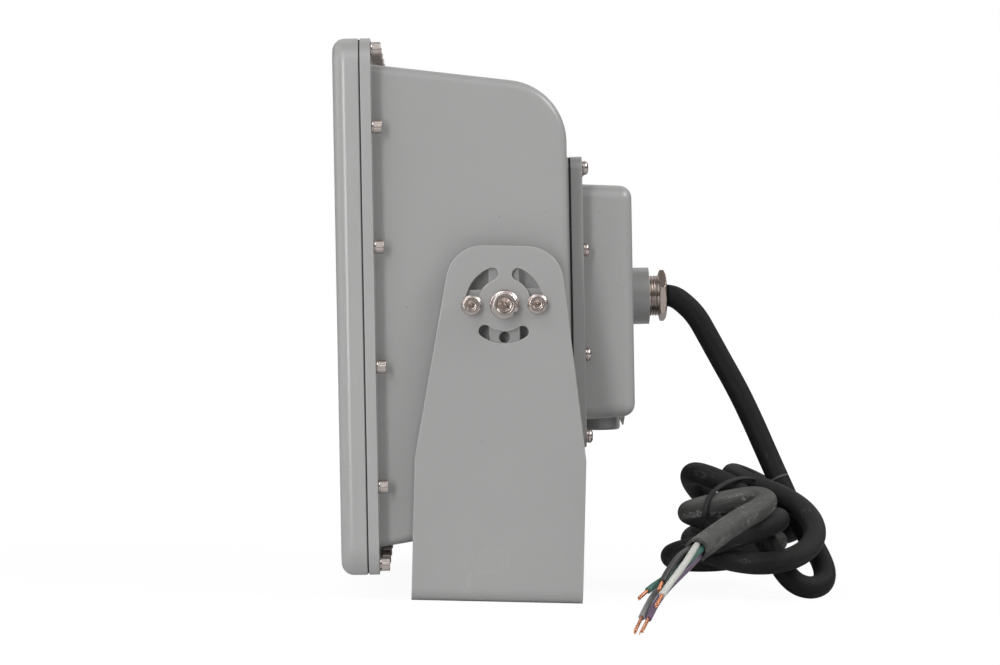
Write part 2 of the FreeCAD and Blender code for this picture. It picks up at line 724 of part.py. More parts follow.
def pivot_backing(side):
    """The square backing behind a pivot boss, inside the housing wall."""
    backing = document.addObject("Part::Box", "pivot_backing")
    slope = f"tan(housing_side_slope) * (flange_back + {BOSS_REACH})"
    mid_wall = f"({HOUSING_HALF_WIDTH} - wall / 2 - {slope})"
    bind(backing, Length=f"{mid_wall} - {BOSS_ROOT}", Width=f"2 * {BOSS_REACH}", Height=f"2 * {BOSS_REACH}")
    seat(backing, BOSS_ROOT if side > 0 else f"-{mid_wall}", f"-{BOSS_REACH}", f"-{BOSS_REACH}")
    return backing


def make_door():
    body = new_body("door_blank")
    slab = block(body, "slab", ("-door_width / 2", "door_width / 2"), (DOOR_FRONT, DOOR_BACK),
                 ("-door_height / 2", "door_height / 2"))
    corners = round_edges(body, "corners", slab, "door_corner",
                          lambda edge: straight_along(edge, Vector(0, 1, 0)))
    front = round_edges(body, "front_round", corners, "door_edge",
                        lambda edge: lies_at(edge.CenterOfMass.y, DOOR_FRONT))
    round_edges(body, "back_round", front, "door_back_edge",
                lambda edge: lies_at(edge.CenterOfMass.y, DOOR_BACK))
    window = plate_body("window_space", WINDOW_HALF_WIDTH, WINDOW_HALF_HEIGHT,
                        (f"{DOOR_FRONT} - overrun", f"{DOOR_BACK} + overrun"), "window_corner")
    lens = plate_body("lens_space", LENS_POCKET_HALF_WIDTH, LENS_POCKET_HALF_HEIGHT,
                      (LENS_GASKET_FRONT, f"{DOOR_BACK} + overrun"), "window_corner")
    retainer = plate_body("retainer_space", RETAINER_HALF_WIDTH, RETAINER_HALF_HEIGHT,
                          (RETAINER_FRONT, f"{DOOR_BACK} + overrun"), "window_corner")
    door_tool = cylinder("door_tap", "small_thread / 2 + thread_clearance",
                         "door_screw_engagement + tap_runout + overrun")
    screws = pattern("door_taps", door_tool,
                     door_screw_places(f"{DOOR_BACK} - door_screw_engagement - tap_runout", TO_REAR))
    ledge_tool = cylinder("retainer_tap", "retainer_thread / 2 + thread_clearance",
                          "retainer_engagement + tap_runout")
    ledge = pattern("retainer_taps", ledge_tool, retainer_screw_places(RETAINER_FRONT, TO_FRONT))
    node("front_door", drilled("door", body, [window, lens, retainer, screws, ledge]))


def make_door_seal_and_screws():
    ring = plate_body("door_gasket_blank", "door_width / 2 - door_gasket_inset",
                      "door_height / 2 - door_gasket_inset", (DOOR_BACK, FLANGE_FRONT),
                      "door_corner - door_gasket_inset")
    opening = plate_body("door_gasket_space", RETAINER_HALF_WIDTH, RETAINER_HALF_HEIGHT,
                         (f"{DOOR_BACK} - overrun", f"{FLANGE_FRONT} + overrun"), "window_corner")
    hole = cylinder("gasket_hole", "small_thread / 2 + hole_clearance / 2",
                    "door_gasket_thickness + 2 * overrun")
    holes = pattern("gasket_holes", hole, door_screw_places(f"{DOOR_BACK} - overrun", TO_REAR))
    node("door_gasket", drilled("door_gasket", ring, [opening, holes]))
    length = "small_washer_thickness + flange_thickness + door_gasket_thickness + door_screw_engagement"
    screw = socket_screw("door_screw", "small_head", "small_head_height", "small_socket", "small_thread",
                         length)
    washer = spring_washer("small_washer_ring", "small_head", "small_thread", "small_washer_thickness")
    screw_places = door_screw_places("-flange_back + small_washer_thickness", TO_REAR)
    node("door_screws", pattern("door_screw_set", screw, screw_places))
    washer_places = door_screw_places("-flange_back", TO_REAR)
    node("door_spring_washers", pattern("door_washer_set", washer, washer_places))
    return washer


def make_lens():
    half_width = f"({LENS_POCKET_HALF_WIDTH} - lens_clearance)"
    half_height = f"({LENS_POCKET_HALF_HEIGHT} - lens_clearance)"
    gasket = plate_body("lens_gasket_blank", half_width, half_height, (LENS_GASKET_FRONT, LENS_FRONT),
                        "window_corner")
    inset_width = f"{WINDOW_HALF_WIDTH} + lens_gasket_inset"
    inset_height = f"{WINDOW_HALF_HEIGHT} + lens_gasket_inset"
    space = plate_body("lens_gasket_space", inset_width, inset_height,
                       (f"{LENS_GASKET_FRONT} - overrun", f"{LENS_FRONT} + overrun"), "window_corner")
    node("lens_gasket", drilled("lens_gasket", gasket, [space]))
    pane = plate_body("lens", half_width, half_height, (LENS_FRONT, RETAINER_FRONT), "window_corner")
    node("glass_lens", pane)
    frame = plate_body("retainer_blank", f"{RETAINER_HALF_WIDTH} - lens_clearance",
                       f"{RETAINER_HALF_HEIGHT} - lens_clearance", (RETAINER_FRONT, RETAINER_BACK),
                       "window_corner")
    opening = plate_body("retainer_opening", inset_width, inset_height,
                         (f"{RETAINER_FRONT} - overrun", f"{RETAINER_BACK} + overrun"), "window_corner")
    hole = cylinder("retainer_hole", "retainer_thread / 2 + thread_clearance",
                    "retainer_thickness + 2 * overrun")
    holes = pattern("retainer_holes", hole, retainer_screw_places(f"{RETAINER_FRONT} - overrun", TO_REAR))
    node("lens_retainer", drilled("retainer", frame, [opening, holes]))
    screw = socket_screw("retainer_screw", "retainer_head", "retainer_head_height", "retainer_thread / 2",
                         "retainer_thread", "retainer_thickness + retainer_engagement")
    places = retainer_screw_places(RETAINER_BACK, TO_REAR)
    node("retainer_screws", pattern("retainer_screw_set", screw, places))


def make_led_tray():
    plate = plate_body("led_plate_blank", PLATE_HALF_WIDTH, PLATE_HALF_HEIGHT, (PLATE_FRONT, PLATE_BACK),
                       "window_corner")
    hole = cylinder("plate_hole", "plate_thread / 2 + hole_clearance / 2", "plate_thickness + 2 * overrun")
    holes = pattern("plate_holes", hole,
                    corner_places(POST_ACROSS, POST_UP, f"{PLATE_FRONT} - overrun", TO_REAR))
    node("led_plate", drilled("led_plate", plate, [holes]))
    screw = socket_screw("plate_screw", "plate_head", "plate_head_height", "plate_socket", "plate_thread",
                         "plate_thickness + plate_engagement")
    places = corner_places(POST_ACROSS, POST_UP, PLATE_FRONT, TO_FRONT)
    node("led_plate_screws", pattern("plate_screw_set", screw, places))
    board_places = {"upper_left": (-1, 1), "upper_right": (1, 1),
                    "lower_left": (-1, -1), "lower_right": (1, -1)}
    chip = document.addObject("Part::Box", "chip")
    bind(chip, Length="chip_size", Width="chip_height", Height="chip_size")
    chips = []
    for name, (i, k) in board_places.items():
        x = f"{i} * (board_gap + {BOARD_WIDTH}) / 2"
        z = f"{k} * (board_gap + {BOARD_HEIGHT}) / 2"
        body = new_body(f"board_{name}")
        block(body, "board", (f"{x} - {BOARD_WIDTH} / 2", f"{x} + {BOARD_WIDTH} / 2"),
              (BOARD_FRONT, PLATE_FRONT), (f"{z} - {BOARD_HEIGHT} / 2", f"{z} + {BOARD_HEIGHT} / 2"))
        # The screw heads of the plate stand in round cut-outs of the boards
        rod(body, "relief", "plate_head / 2 + relief_gap", TO_REAR,
            (f"{i} * {POST_ACROSS}", f"{BOARD_FRONT} - overrun", f"{k} * {POST_UP}"),
            "board_thickness + 2 * overrun", cut=True)
        node(f"led_board_{name}", body)
        for column in (-1.5, -0.5, 0.5, 1.5):
            for line in (-1.5, -0.5, 0.5, 1.5):
                chips.append((f"{x} + {column} * chip_pitch - chip_size / 2",
                              f"{BOARD_FRONT} - chip_height",
                              f"{z} + {line} * chip_pitch - chip_size / 2", UPRIGHT))
        make_optic(name, i, k, x, z)
    node("led_chips", pattern("led_chip_set", chip, chips))


def make_optic(name, i, k, x, z):
    """A clear cover over one board, with a shallow dome before each chip."""
    body = new_body(f"optic_{name}")
    half_width = f"({BOARD_WIDTH} / 2 - optic_margin)"
    half_height = f"({BOARD_HEIGHT} / 2 - optic_margin)"
    front = f"({BOARD_FRONT} - optic_rim - optic_plate)"
    block(body, "cover", (f"{x} - {half_width}", f"{x} + {half_width}"), (front, BOARD_FRONT),
          (f"{z} - {half_height}", f"{z} + {half_height}"))
    block(body, "hollow", (f"{x} - {half_width} + optic_plate", f"{x} + {half_width} - optic_plate"),
          (f"{front} + optic_plate", f"{BOARD_FRONT} + overrun"),
          (f"{z} - {half_height} + optic_plate", f"{z} + {half_height} - optic_plate"), cut=True)
    rod(body, "relief", "plate_head / 2 + relief_gap", TO_REAR,
        (f"{i} * {POST_ACROSS}", f"{front} - overrun", f"{k} * {POST_UP}"),
        "optic_rim + optic_plate + 2 * overrun", cut=True)
    dome = document.addObject("Part::Ellipsoid", f"dome_{name}")
    dome.Angle1 = 0
    bind(dome, Radius1="dome_height", Radius2="dome_width / 2", Radius3="dome_width / 2")
    domes = pattern(f"domes_{name}", dome, [
        (f"{x} + {column} * chip_pitch", f"{front} + dome_sunk", f"{z} + {line} * chip_pitch", TO_FRONT)
        for column in (-1.5, -0.5, 0.5, 1.5) for line in (-1.5, -0.5, 0.5, 1.5)])
    whole = document.addObject("Part::MultiFuse", f"optic_{name}_whole")
    whole.Shapes = [body, domes]
    node(f"led_optic_{name}", whole)


def make_driver_box(washer):
    body = new_body("driver_box_blank")
    flange = block(body, "flange", ("-box_flange_half_width", "box_flange_half_width"),
                   (BOX_FRONT, BOX_FLANGE_BACK), ("-box_flange_half_height", "box_flange_half_height"))
    round_edges(body, "flange_corners", flange, "box_flange_corner",
                lambda edge: straight_along(edge, Vector(0, 1, 0)))
    shape = new_body("driver_box_hood")
    narrow = "tan(box_draft) * box_depth"
    rear = (f"{BOX_HALF_WIDTH} - {narrow}", f"-{BOX_HALF_HEIGHT} + {narrow}", f"{BOX_HALF_HEIGHT} - {narrow}")
    hood = wedge(shape, "hood", (BOX_FLANGE_BACK, BOX_BACK),
                 (BOX_HALF_WIDTH, f"-{BOX_HALF_HEIGHT}", BOX_HALF_HEIGHT), rear)
    sides = round_edges(shape, "hood_sides", hood, "box_side_edge",
                        lambda edge: not lies_at(edge.CenterOfMass.y, BOX_FLANGE_BACK)
                        and not lies_at(edge.CenterOfMass.y, BOX_BACK))
    round_edges(shape, "hood_back", sides, "box_edge",
                lambda edge: lies_at(edge.CenterOfMass.y, BOX_BACK))
    boss = cylinder("cable_boss_bar", "cable_boss / 2", "cable_boss_length + wall / 2")
    boss.Placement = Placement(Vector(), TO_REAR)
    seat(boss, 0, f"{BOX_BACK} - wall / 2", "cable_axis_height")
    hub = new_body("hub_shape")
    hub_height = f"({HUB_BOTTOM} * -1 - {CAVITY_HALF_HEIGHT})"
    post = rod(hub, "hub", "hub_width / 2", UPRIGHT, (0, HUB_BEHIND, HUB_BOTTOM), f"{hub_height} - overrun")
    round_edges(hub, "hub_rim", post, "hub_round", lambda edge: lies_at(edge.CenterOfMass.z, HUB_BOTTOM))
    lug = new_body("lug_shape")
    lug_behind = f"({BOX_FLANGE_BACK} + lug_from_flange)"
    lug_top = f"-{BOX_HALF_HEIGHT} + lug_sunk"
    lug_bottom = f"-{BOX_HALF_HEIGHT} - lug_projection"
    corners = [(f"{lug_behind} - lug_root_front", lug_top), (f"{lug_behind} + lug_root_rear", lug_top),
               (f"{lug_behind} + lug_tip_half", lug_bottom), (f"{lug_behind} - lug_tip_half", lug_bottom)]
    outline_pad(lug, "lug", corners, "lug_thickness")
    lugs = pattern("lugs", lug, [("lug_across", 0, 0, UPRIGHT)])
    solid = document.addObject("Part::MultiFuse", "driver_box_solid")
    solid.Shapes = [body, shape, boss, hub, lugs]
    cavity = plate_body("driver_box_cavity", CAVITY_HALF_WIDTH, CAVITY_HALF_HEIGHT,
                        (f"{BOX_FRONT} - overrun", BOX_INNER_BACK), "box_edge")
    clear = "small_thread / 2 + hole_clearance / 2"
    hole = cylinder("box_clear_hole", clear, "box_flange_thickness + 2 * overrun")
    holes = pattern("box_clear_holes", hole, box_screw_places(f"{BOX_FRONT} - overrun", TO_REAR))
    gland_tool = cylinder("gland_tap", "gland_thread / 2 + thread_clearance", "gland_seat + overrun")
    gland = pattern("gland_bores", gland_tool,
                    [(0, f"{BOSS_BACK} - gland_seat", "cable_axis_height", TO_REAR)])
    entry_tool = cylinder("entry_bore", "cord_width / 2 + hole_clearance", "wall + cable_boss_length")
    entry = pattern("entry_bores", entry_tool,
                    [(0, f"{BOX_INNER_BACK} - overrun", "cable_axis_height", TO_REAR)])
    plug_tool = cylinder("plug_tap", "hub_plug / 2 + thread_clearance", f"{hub_height} + 2 * overrun")
    plug = pattern("plug_taps", plug_tool, [(0, HUB_BEHIND, f"{HUB_BOTTOM} - overrun", UPRIGHT)])
    tap = cylinder("inner_tap", "inner_thread / 2 + thread_clearance", "inner_engagement + inner_runout")
    inner = pattern("inner_taps", tap, inner_screw_places(BOX_INNER_BACK, TO_REAR))
    node("driver_box", drilled("driver_box", solid, [cavity, holes, gland, entry, plug, inner]))
    seal = plate_body("box_gasket_blank", "box_flange_half_width - box_gasket_inset",
                      "box_flange_half_height - box_gasket_inset", (PAD_BACK, BOX_FRONT), "box_flange_corner")
    opening = plate_body("box_gasket_space", CAVITY_HALF_WIDTH, CAVITY_HALF_HEIGHT,
                         (f"{PAD_BACK} - overrun", f"{BOX_FRONT} + overrun"), "box_edge")
    seal_hole = cylinder("seal_hole", clear, "box_gasket_thickness + 2 * overrun")
    seal_holes = pattern("seal_holes", seal_hole, box_screw_places(f"{PAD_BACK} - overrun", TO_REAR))
    node("driver_box_gasket", drilled("box_gasket", seal, [opening, seal_holes]))
    grip = "small_washer_thickness + box_flange_thickness + box_gasket_thickness"
    screw = socket_screw("box_screw", "button_head", "button_head_height", "button_socket", "small_thread",
                         f"{grip} + box_screw_engagement")
    screw_places = box_screw_places(f"{BOX_FLANGE_BACK} + small_washer_thickness", TO_REAR)
    node("driver_box_screws", pattern("box_screw_set", screw, screw_places))
    washer_places = box_screw_places(BOX_FLANGE_BACK, TO_REAR)
    node("driver_box_spring_washers", pattern("box_washer_set", washer, washer_places))
    stopper = socket_screw("plug", "hub_plug", "hub_plug_height", "lock_socket", "inner_thread", "tap_runout")
    upside_down = Rotation(Vector(1, 0, 0), 180)
    node("hub_plug", pattern("hub_plug_set", stopper,
                             [(0, HUB_BEHIND, f"{HUB_BOTTOM} + hub_plug_height", upside_down)]))


def inner_screw_places(y, turn):
    """Screws of the driver's ears, the terminal block and the earth point."""
    ear = "(driver_width / 2 + driver_ear / 2)"
    places = [(f"{side} * {ear}", y, f"driver_bottom + {share} * driver_height", turn)
              for side in (-1, 1) for share in (0.25, 0.75)]
    places += [(f"{side} * (terminal_width / 2 - terminal_screw_inset)", y,
                "terminal_top - terminal_height / 2", turn) for side in (-1, 1)]
    return places + [("earth_across", y, "earth_up", turn)]


def make_electrics():
    ear_front = f"({BOX_INNER_BACK} - driver_ear_thickness)"
    clear = "inner_thread / 2 + thread_clearance"
    places = inner_screw_places(BOX_INNER_BACK, TO_FRONT)
    body = new_body("driver_blank")
    case_front = f"{BOX_INNER_BACK} - driver_depth"
    case = block(body, "case", ("-driver_width / 2", "driver_width / 2"), (case_front, BOX_INNER_BACK),
                 ("driver_bottom", "driver_bottom + driver_height"))
    round_edges(body, "case_edges", case, "driver_edge",
                lambda edge: lies_at(edge.CenterOfMass.y, case_front))
    block(body, "ears", ("-driver_width / 2 - driver_ear", "driver_width / 2 + driver_ear"),
          (ear_front, BOX_INNER_BACK), ("driver_bottom", "driver_bottom + driver_height"))
    holes = pattern("ear_holes", cylinder("ear_hole", clear, "driver_ear_thickness + 2 * overrun"),
                    [(x, f"{ear_front} - overrun", z, TO_REAR) for x, y, z, turn in places[:4]])
    node("led_driver", drilled("driver", body, [holes]))
    block_body = new_body("terminal_blank")
    front = f"({BOX_INNER_BACK} - terminal_depth)"
    block(block_body, "terminals", ("-terminal_width / 2", "terminal_width / 2"), (front, BOX_INNER_BACK),
          ("terminal_top - terminal_height", "terminal_top"))
    through = pattern("terminal_holes", cylinder("terminal_hole", clear, "terminal_depth + 2 * overrun"),
                      [(x, f"{front} - overrun", z, TO_REAR) for x, y, z, turn in places[4:6]])
    node("terminal_block", drilled("terminal", block_body, [through]))
    small = ("inner_head", "inner_head_height", "inner_thread / 2", "inner_thread")
    ear_screw = socket_screw("ear_screw", *small, "driver_ear_thickness + inner_engagement")
    ear_places = [(x, ear_front, z, turn) for x, y, z, turn in places[:4]]
    node("driver_screws", pattern("ear_screw_set", ear_screw, ear_places))
    long_screw = socket_screw("terminal_screw", *small, "terminal_depth + inner_engagement")
    terminal_places = [(x, front, z, turn) for x, y, z, turn in places[4:6]]
    node("terminal_screws", pattern("terminal_screw_set", long_screw, terminal_places))
    earth = socket_screw("earth_stud", *small, "inner_engagement")
    node("earth_screw", pattern("earth_screw_set", earth, places[6:]))


def make_leads():
    """Five leads from the cord to the terminals, and two from the driver to the LED plate."""
    inner_end = number(f"{NUT_BACK} - cord_inside")
    height = number("cable_axis_height")
    bend = number("lead_bend")
    width = number("lead_width")
    leads = []
    for step in (-2, -1, 0, 1, 2):
        x = step * number("lead_pitch")
        turn_at = inner_end - 2 * bend
        points = [Vector(x, inner_end, height), Vector(x, turn_at, height),
                  Vector(x, turn_at, number("terminal_top"))]
        leads.append(tube(f"supply lead {step}", points, width))
    node("supply_leads", coded("supply_lead_set", Part.makeCompound(leads)))
    pair = []
    drop_at = number(f"{BOX_INNER_BACK} - driver_depth / 2")
    for side in (-1, 1):
        x = number("wire_hole_across") + side * number("lead_pitch")
        points = [Vector(x, drop_at, number("driver_bottom")), Vector(x, drop_at, number("wire_hole_up")),
                  Vector(x, number(PLATE_BACK), number("wire_hole_up"))]
        pair.append(tube(f"LED lead {side}", points, width))
    node("led_leads", coded("led_lead_pair", Part.makeCompound(pair)))


def make_gland():
    body = new_body("gland")
    length = "(gland_seat + gland_projection)"
    start = f"({BOSS_BACK} - gland_seat)"
    rod(body, "thread", "gland_thread / 2", TO_REAR, (0, start, "cable_axis_height"), length)
    rod(body, "bore", "gland_bore / 2", TO_REAR, (0, f"{start} - overrun", "cable_axis_height"),
        f"{length} + 2 * overrun", cut=True)
    seal_start = f"({start} + {length} - gland_seal_length)"
    seat_radius = "(gland_thread / 2 - gland_seal_wall)"
    rod(body, "seal_seat", seat_radius, TO_REAR, (0, seal_start, "cable_axis_height"),
        "gland_seal_length + overrun", cut=True)
    node("gland_body", body)
    seal = new_body("seal")
    rod(seal, "ring", f"{seat_radius} - thread_clearance", TO_REAR, (0, seal_start, "cable_axis_height"),
        "gland_seal_length")
    rod(seal, "hole", "cord_width / 2 + cord_fit", TO_REAR,
        (0, f"{seal_start} - overrun", "cable_axis_height"), "gland_seal_length + 2 * overrun", cut=True)
    node("gland_seal", seal)
    nut = new_body("nut")
    flange_start = f"({BOX_BACK} + nut_start)"
    rod(nut, "flange", "nut_flange / 2", TO_REAR, (0, flange_start, "cable_axis_height"),
        "nut_flange_thickness")
    hexagon = nut.newObject("PartDesign::AdditivePrism", "hexagon")
    hexagon.Polygon = 6
    hexagon.Placement = Placement(Vector(), TO_REAR * Rotation(Vector(0, 0, 1), 30 + number("nut_turn")))
    bind(hexagon, Circumradius="nut_across_flats / (2 * cos(30))", Height="nut_hex_thickness")
    seat(hexagon, 0, f"{flange_start} + nut_flange_thickness", "cable_axis_height")
    thickness = "nut_flange_thickness + nut_hex_thickness"
    rod(nut, "thread", "gland_thread / 2 + thread_clearance", TO_REAR,
        (0, f"{flange_start} - overrun", "cable_axis_height"), f"{thickness} - nut_lip + overrun", cut=True)
    rod(nut, "mouth", "cord_width / 2 + cord_fit", TO_REAR, (0, flange_start, "cable_axis_height"),
        f"{thickness} + overrun", cut=True)
    node("gland_nut", nut)
    end = new_body("cord_end")
    rod(end, "jacket", "cord_width / 2", TO_REAR, (0, f"{NUT_BACK} - cord_inside", "cable_axis_height"),
        "cord_inside")
    node("cord_entry", end)


def cord_exit():
    """The centre of the nut's mouth, after the head's tilt."""
    tilt = Rotation(Vector(1, 0, 0), number("rest_tilt"))
    mouth = Vector(0, number(NUT_BACK), number("cable_axis_height"))
    return tilt.multVec(mouth) + Vector(0, 0, number("pivot_height"))


# The hand-chosen route of the cord, after its exit from the gland: the drop, then the tail that
# comes forward off the pile to the stripped end
DROP = [(0, 140.5, 221.8), (0, 152.5, 211), (0, 162, 195), (1, 173, 176), (3, 186, 154), (6, 198, 130),
        (10, 208, 108), (17, 219, 84)]
TAIL = [(88, 203, 78), (122, 193, 72), (165, 179, 65.5), (212, 165, 61), (258, 152, 57), (290, 143, 54.3),
        (320, 134.5, 51.5)]
# Each conductor's route from the middle of the jacket's cut end. The last run is bare copper.
CORES = {
    "white": [(0, 1.6, 5), (34, -10, -7), (62, -27.4, -26), (72, -32.2, -34.8)],
    "black": [(0, -4.4, 3), (16, -14.5, -2.5), (30, -27.7, -19), (34, -30, -25.5)],
    "green": [(0, -4.6, -3.6), (32, -20, -13.5), (58, -36.2, -25.2), (68, -43.9, -30.9)],
    "purple": [(0, 5, -1.2), (42, -13, -26), (80, -33, -41.5), (96, -42.6, -49.6)],
    "grey": [(0, 1, -5.4), (36, -22, -22), (80, -42, -40.5), (100, -48.5, -49.6)],
}


def make_cord():
    width = number("cord_width")
    drum = new_body("coil_drum")
    middle = ("coil_across", "coil_behind")
    outer = rod(drum, "turns", "coil_radius", UPRIGHT, (*middle, 0), "coil_height")
    round_edges(drum, "turn_edges", outer, "coil_edge", lambda edge: isinstance(edge.Curve, Part.Circle))
    rod(drum, "eye", "coil_eye", UPRIGHT, (*middle, "-overrun"), "coil_height + 2 * overrun", cut=True)
    tie = new_body("tie")
    near = "(coil_behind - coil_radius - tie_thickness)"
    far = "(coil_behind - coil_eye)"
    block(tie, "band", ("coil_across - tie_width / 2", "coil_across + tie_width / 2"),
          (near, f"{far} + tie_thickness"), ("tie_low", "coil_height + tie_thickness"))
    block(tie, "inside", ("coil_across - tie_width", "coil_across + tie_width"),
          (f"{near} + tie_thickness", far), ("tie_low + tie_thickness", "coil_height"), cut=True)
    node("cable_tie", tie, head=False)
    slotted = document.addObject("Part::Cut", "coil_slotted")
    slotted.Base = drum
    slotted.Tool = tie
    node("cord_coil", slotted, head=False)
    document.recompute()
    leaving = cord_exit()
    route = [leaving] + [Vector(*point) for point in DROP]
    back_into = leaving - route[1]
    back_into.normalize()
    drop = tube("power_cord", [leaving + back_into * (width / 2)] + route[1:], width)
    mouth = Part.makeBox(3 * width, width, 3 * width, Vector(-1.5 * width, -width, -1.5 * width))
    mouth.Placement = Placement(leaving, Rotation(Vector(1, 0, 0), number("rest_tilt"))) * mouth.Placement
    node("power_cord", coded("cord_drop", drop.cut(mouth).cut(drum.Shape)), head=False)
    tail_points = [Vector(*point) for point in TAIL]
    tail = tube("cord_tail", tail_points, width)
    node("cord_tail", coded("cord_tail_tube", tail.cut(drum.Shape)), head=False)
    tips = []
    for name, steps in CORES.items():
        points = [tail_points[-1] + Vector(*step) for step in steps]
        core = tube(f"conductor_{name}", points[:-1], number("core_width"))
        node(f"conductor_{name}", coded(f"core_{name}", core.cut(tail)), head=False)
        onward = points[-1] - points[-2]
        tip = Part.makeCylinder(number("copper_width") / 2, onward.Length, points[-2], onward)
        tips.append(tip.cut(core))
    node("copper_ends", coded("copper_tips", Part.makeCompound(tips)), head=False)


def write_parts():
    """Checks every object, then writes one STEP file for each named piece."""
    document.recompute()
    for thing in document.Objects:
        if "Invalid" in thing.State or "Error" in thing.State:
            raise ValueError(f"{thing.Label} did not build: {thing.State}")
    for label, thing in nodes.items():
        if thing.Shape.isNull() or not thing.Shape.isValid() or not thing.Shape.Solids:
            raise ValueError(f"{label} has no sound solid")
    os.makedirs("parts", exist_ok=True)
    for label, thing in nodes.items():
        thing.Shape.exportStep(f"parts/{label}.step")
    print(f"{len(nodes)} pieces written")


make_yoke()
make_pivot_hardware()
make_housing()
make_door()
small_washer = make_door_seal_and_screws()
make_lens()
make_led_tray()
make_driver_box(small_washer)
make_electrics()
make_gland()
make_leads()
make_cord()
write_parts()
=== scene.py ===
"""Finishes of a cast floodlight on a folded yoke, with its bundled rubber cord."""
import json
import math

import bmesh
import bpy
import numpy as np
from bpy.props import FloatProperty, FloatVectorProperty, IntProperty, PointerProperty
from mathutils import Matrix, Vector

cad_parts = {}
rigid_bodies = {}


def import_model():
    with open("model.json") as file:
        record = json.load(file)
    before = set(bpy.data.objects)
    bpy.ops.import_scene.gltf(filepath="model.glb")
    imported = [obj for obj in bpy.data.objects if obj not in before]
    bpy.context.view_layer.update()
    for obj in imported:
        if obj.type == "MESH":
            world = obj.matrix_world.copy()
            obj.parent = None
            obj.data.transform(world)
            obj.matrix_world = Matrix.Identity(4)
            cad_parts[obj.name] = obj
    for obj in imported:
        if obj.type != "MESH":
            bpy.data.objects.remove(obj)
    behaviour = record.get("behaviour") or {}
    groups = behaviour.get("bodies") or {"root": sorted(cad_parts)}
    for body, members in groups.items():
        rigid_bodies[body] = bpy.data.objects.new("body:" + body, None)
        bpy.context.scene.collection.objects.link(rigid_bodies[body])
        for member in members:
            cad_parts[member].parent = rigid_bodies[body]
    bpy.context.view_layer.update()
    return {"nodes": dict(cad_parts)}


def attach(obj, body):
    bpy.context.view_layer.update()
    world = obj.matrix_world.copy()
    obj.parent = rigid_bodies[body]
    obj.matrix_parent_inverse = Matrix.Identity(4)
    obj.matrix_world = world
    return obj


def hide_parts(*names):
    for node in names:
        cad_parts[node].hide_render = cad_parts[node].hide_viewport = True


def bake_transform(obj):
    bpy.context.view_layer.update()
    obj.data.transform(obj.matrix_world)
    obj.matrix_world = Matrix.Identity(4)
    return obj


bl_info = {
    "name": "Floodlight Finishes",
    "version": (1, 0, 0),
    "blender": (4, 5, 0),
    "location": "View3D > Sidebar > Floodlight",
    "description": "Paint, metal, glass, screws, threads and cord of a cast floodlight",
    "category": "Object",
}

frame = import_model()
MM = 0.001
WHITE = (1, 1, 1, 1)
HEAD_TILT = math.radians(2.4)
HEAD_BACK = Vector((0, math.cos(HEAD_TILT), math.sin(HEAD_TILT)))
ACROSS = Vector((1, 0, 0))

# The cord's given points, in millimetres: from the gland down to the bundle.
EXIT = (0, 129.16, 225.72)
DROP = [(0, 133.5, 225.7), (0, 141, 221.6), (0, 152.5, 211), (0, 162, 195), (1, 173, 176), (3, 186, 154),
        (6, 198, 130), (10, 208, 108), (17, 219, 84), (26, 230, 60), (40, 245, 37)]
# Each loose turn by four to seven of its places, from the drop inward.
TURNS = [
    [(66, 262, 18), (92, 222, 9), (74, 214, 44), (58, 190, 74), (50, 170, 84), (26, 148, 90),
     (-34, 176, 58)],
    [(-58, 220, 38), (-44, 240, 50), (-20, 224, 70), (10, 178, 92), (50, 208, 66.5)],
    [(89, 242, 50), (114, 198, 24), (52, 146, 42), (-14, 182, 40)],
    [(80, 215, 63), (112, 178, 45), (60, 128, 29), (-30, 176, 18)],
    [(-36, 208, 27), (-10, 221, 40), (22, 184, 52), (56, 148, 60)],
]
LEAVING = [(69, 141.5, 61), (82, 147, 64), (87, 164, 68.5), (82, 182, 73)]
TAIL = [(86, 196, 76), (103, 203, 74), (131, 194, 69.5), (165, 179, 65), (212, 165, 61), (258, 152, 57),
        (290, 143, 54.3), (320, 134.5, 51.5)]
# The conductors' points, from the end of the jacket; the last run of each is bare copper.
CORES = {
    "white": [(0, 0, 4), (34, -10, -7), (62, -27.4, -26), (72, -32.2, -34.8)],
    "black": [(0, -3.8, 1.2), (24, -14.5, -2.5), (50, -27, -18.5), (57, -29.3, -25)],
    "green": [(0, 3.8, 1.2), (20, -9, -8), (34, -23, -17), (48, -35.5, -24), (58, -43.5, -30.5)],
    "purple": [(0, 2.4, -3.2), (14, -6, -11), (40, -23, -24.5), (54, -31, -34), (72, -36.5, -42),
               (90, -42.5, -50.4)],
    "grey": [(0, -2.4, -3.2), (18, -15, -15), (34, -29, -26), (44, -34, -32), (70, -41, -41.5),
             (96, -47.5, -50.4)],
}
# The tie's points, round the upper turns.
TIE = [(92, 155.2, 57.8), (91, 157.3, 72.8), (86, 164, 81), (74, 175, 86.5), (62, 185, 89), (46, 197, 88),
       (26, 202, 82), (0, 206, 70), (-16, 200, 52), (-14, 188, 34), (20, 172, 22), (66, 158, 32)]
BUNDLE = Vector((40, 185, 62)) * MM
# Along the jacket, in metres: where dust and wear set in, and the fold in the drop, where a highlight line
# and a shade band are painted.
DUSTY_REACH = (0.2, 0.6)
WORN_REACH = (1.38, 1.54)
FOLD_REACH = 0.171
# How the turns settle: the rounds, the widths along the cord that count as one bend, and three shares.
ROUNDS, ONE_BEND, PUSH, EASE, RETURN = 400, 2.6, 1.2, 0.02, 0.02
# The distance of two strands in widths, and the cord's height over the floor in millimetres.
STRAND_GAP, FLOOR_GAP = 1.018, 0.1
# From a conductor's first point back into the jacket, in millimetres.
INWARD = (9, -2.4, -0.8)


def a_colour(name, description, default):
    return FloatVectorProperty(name=name, description=description, default=default, subtype="COLOR")


def a_length(name, description, default):
    return FloatProperty(name=name, description=description, default=default, unit="LENGTH")


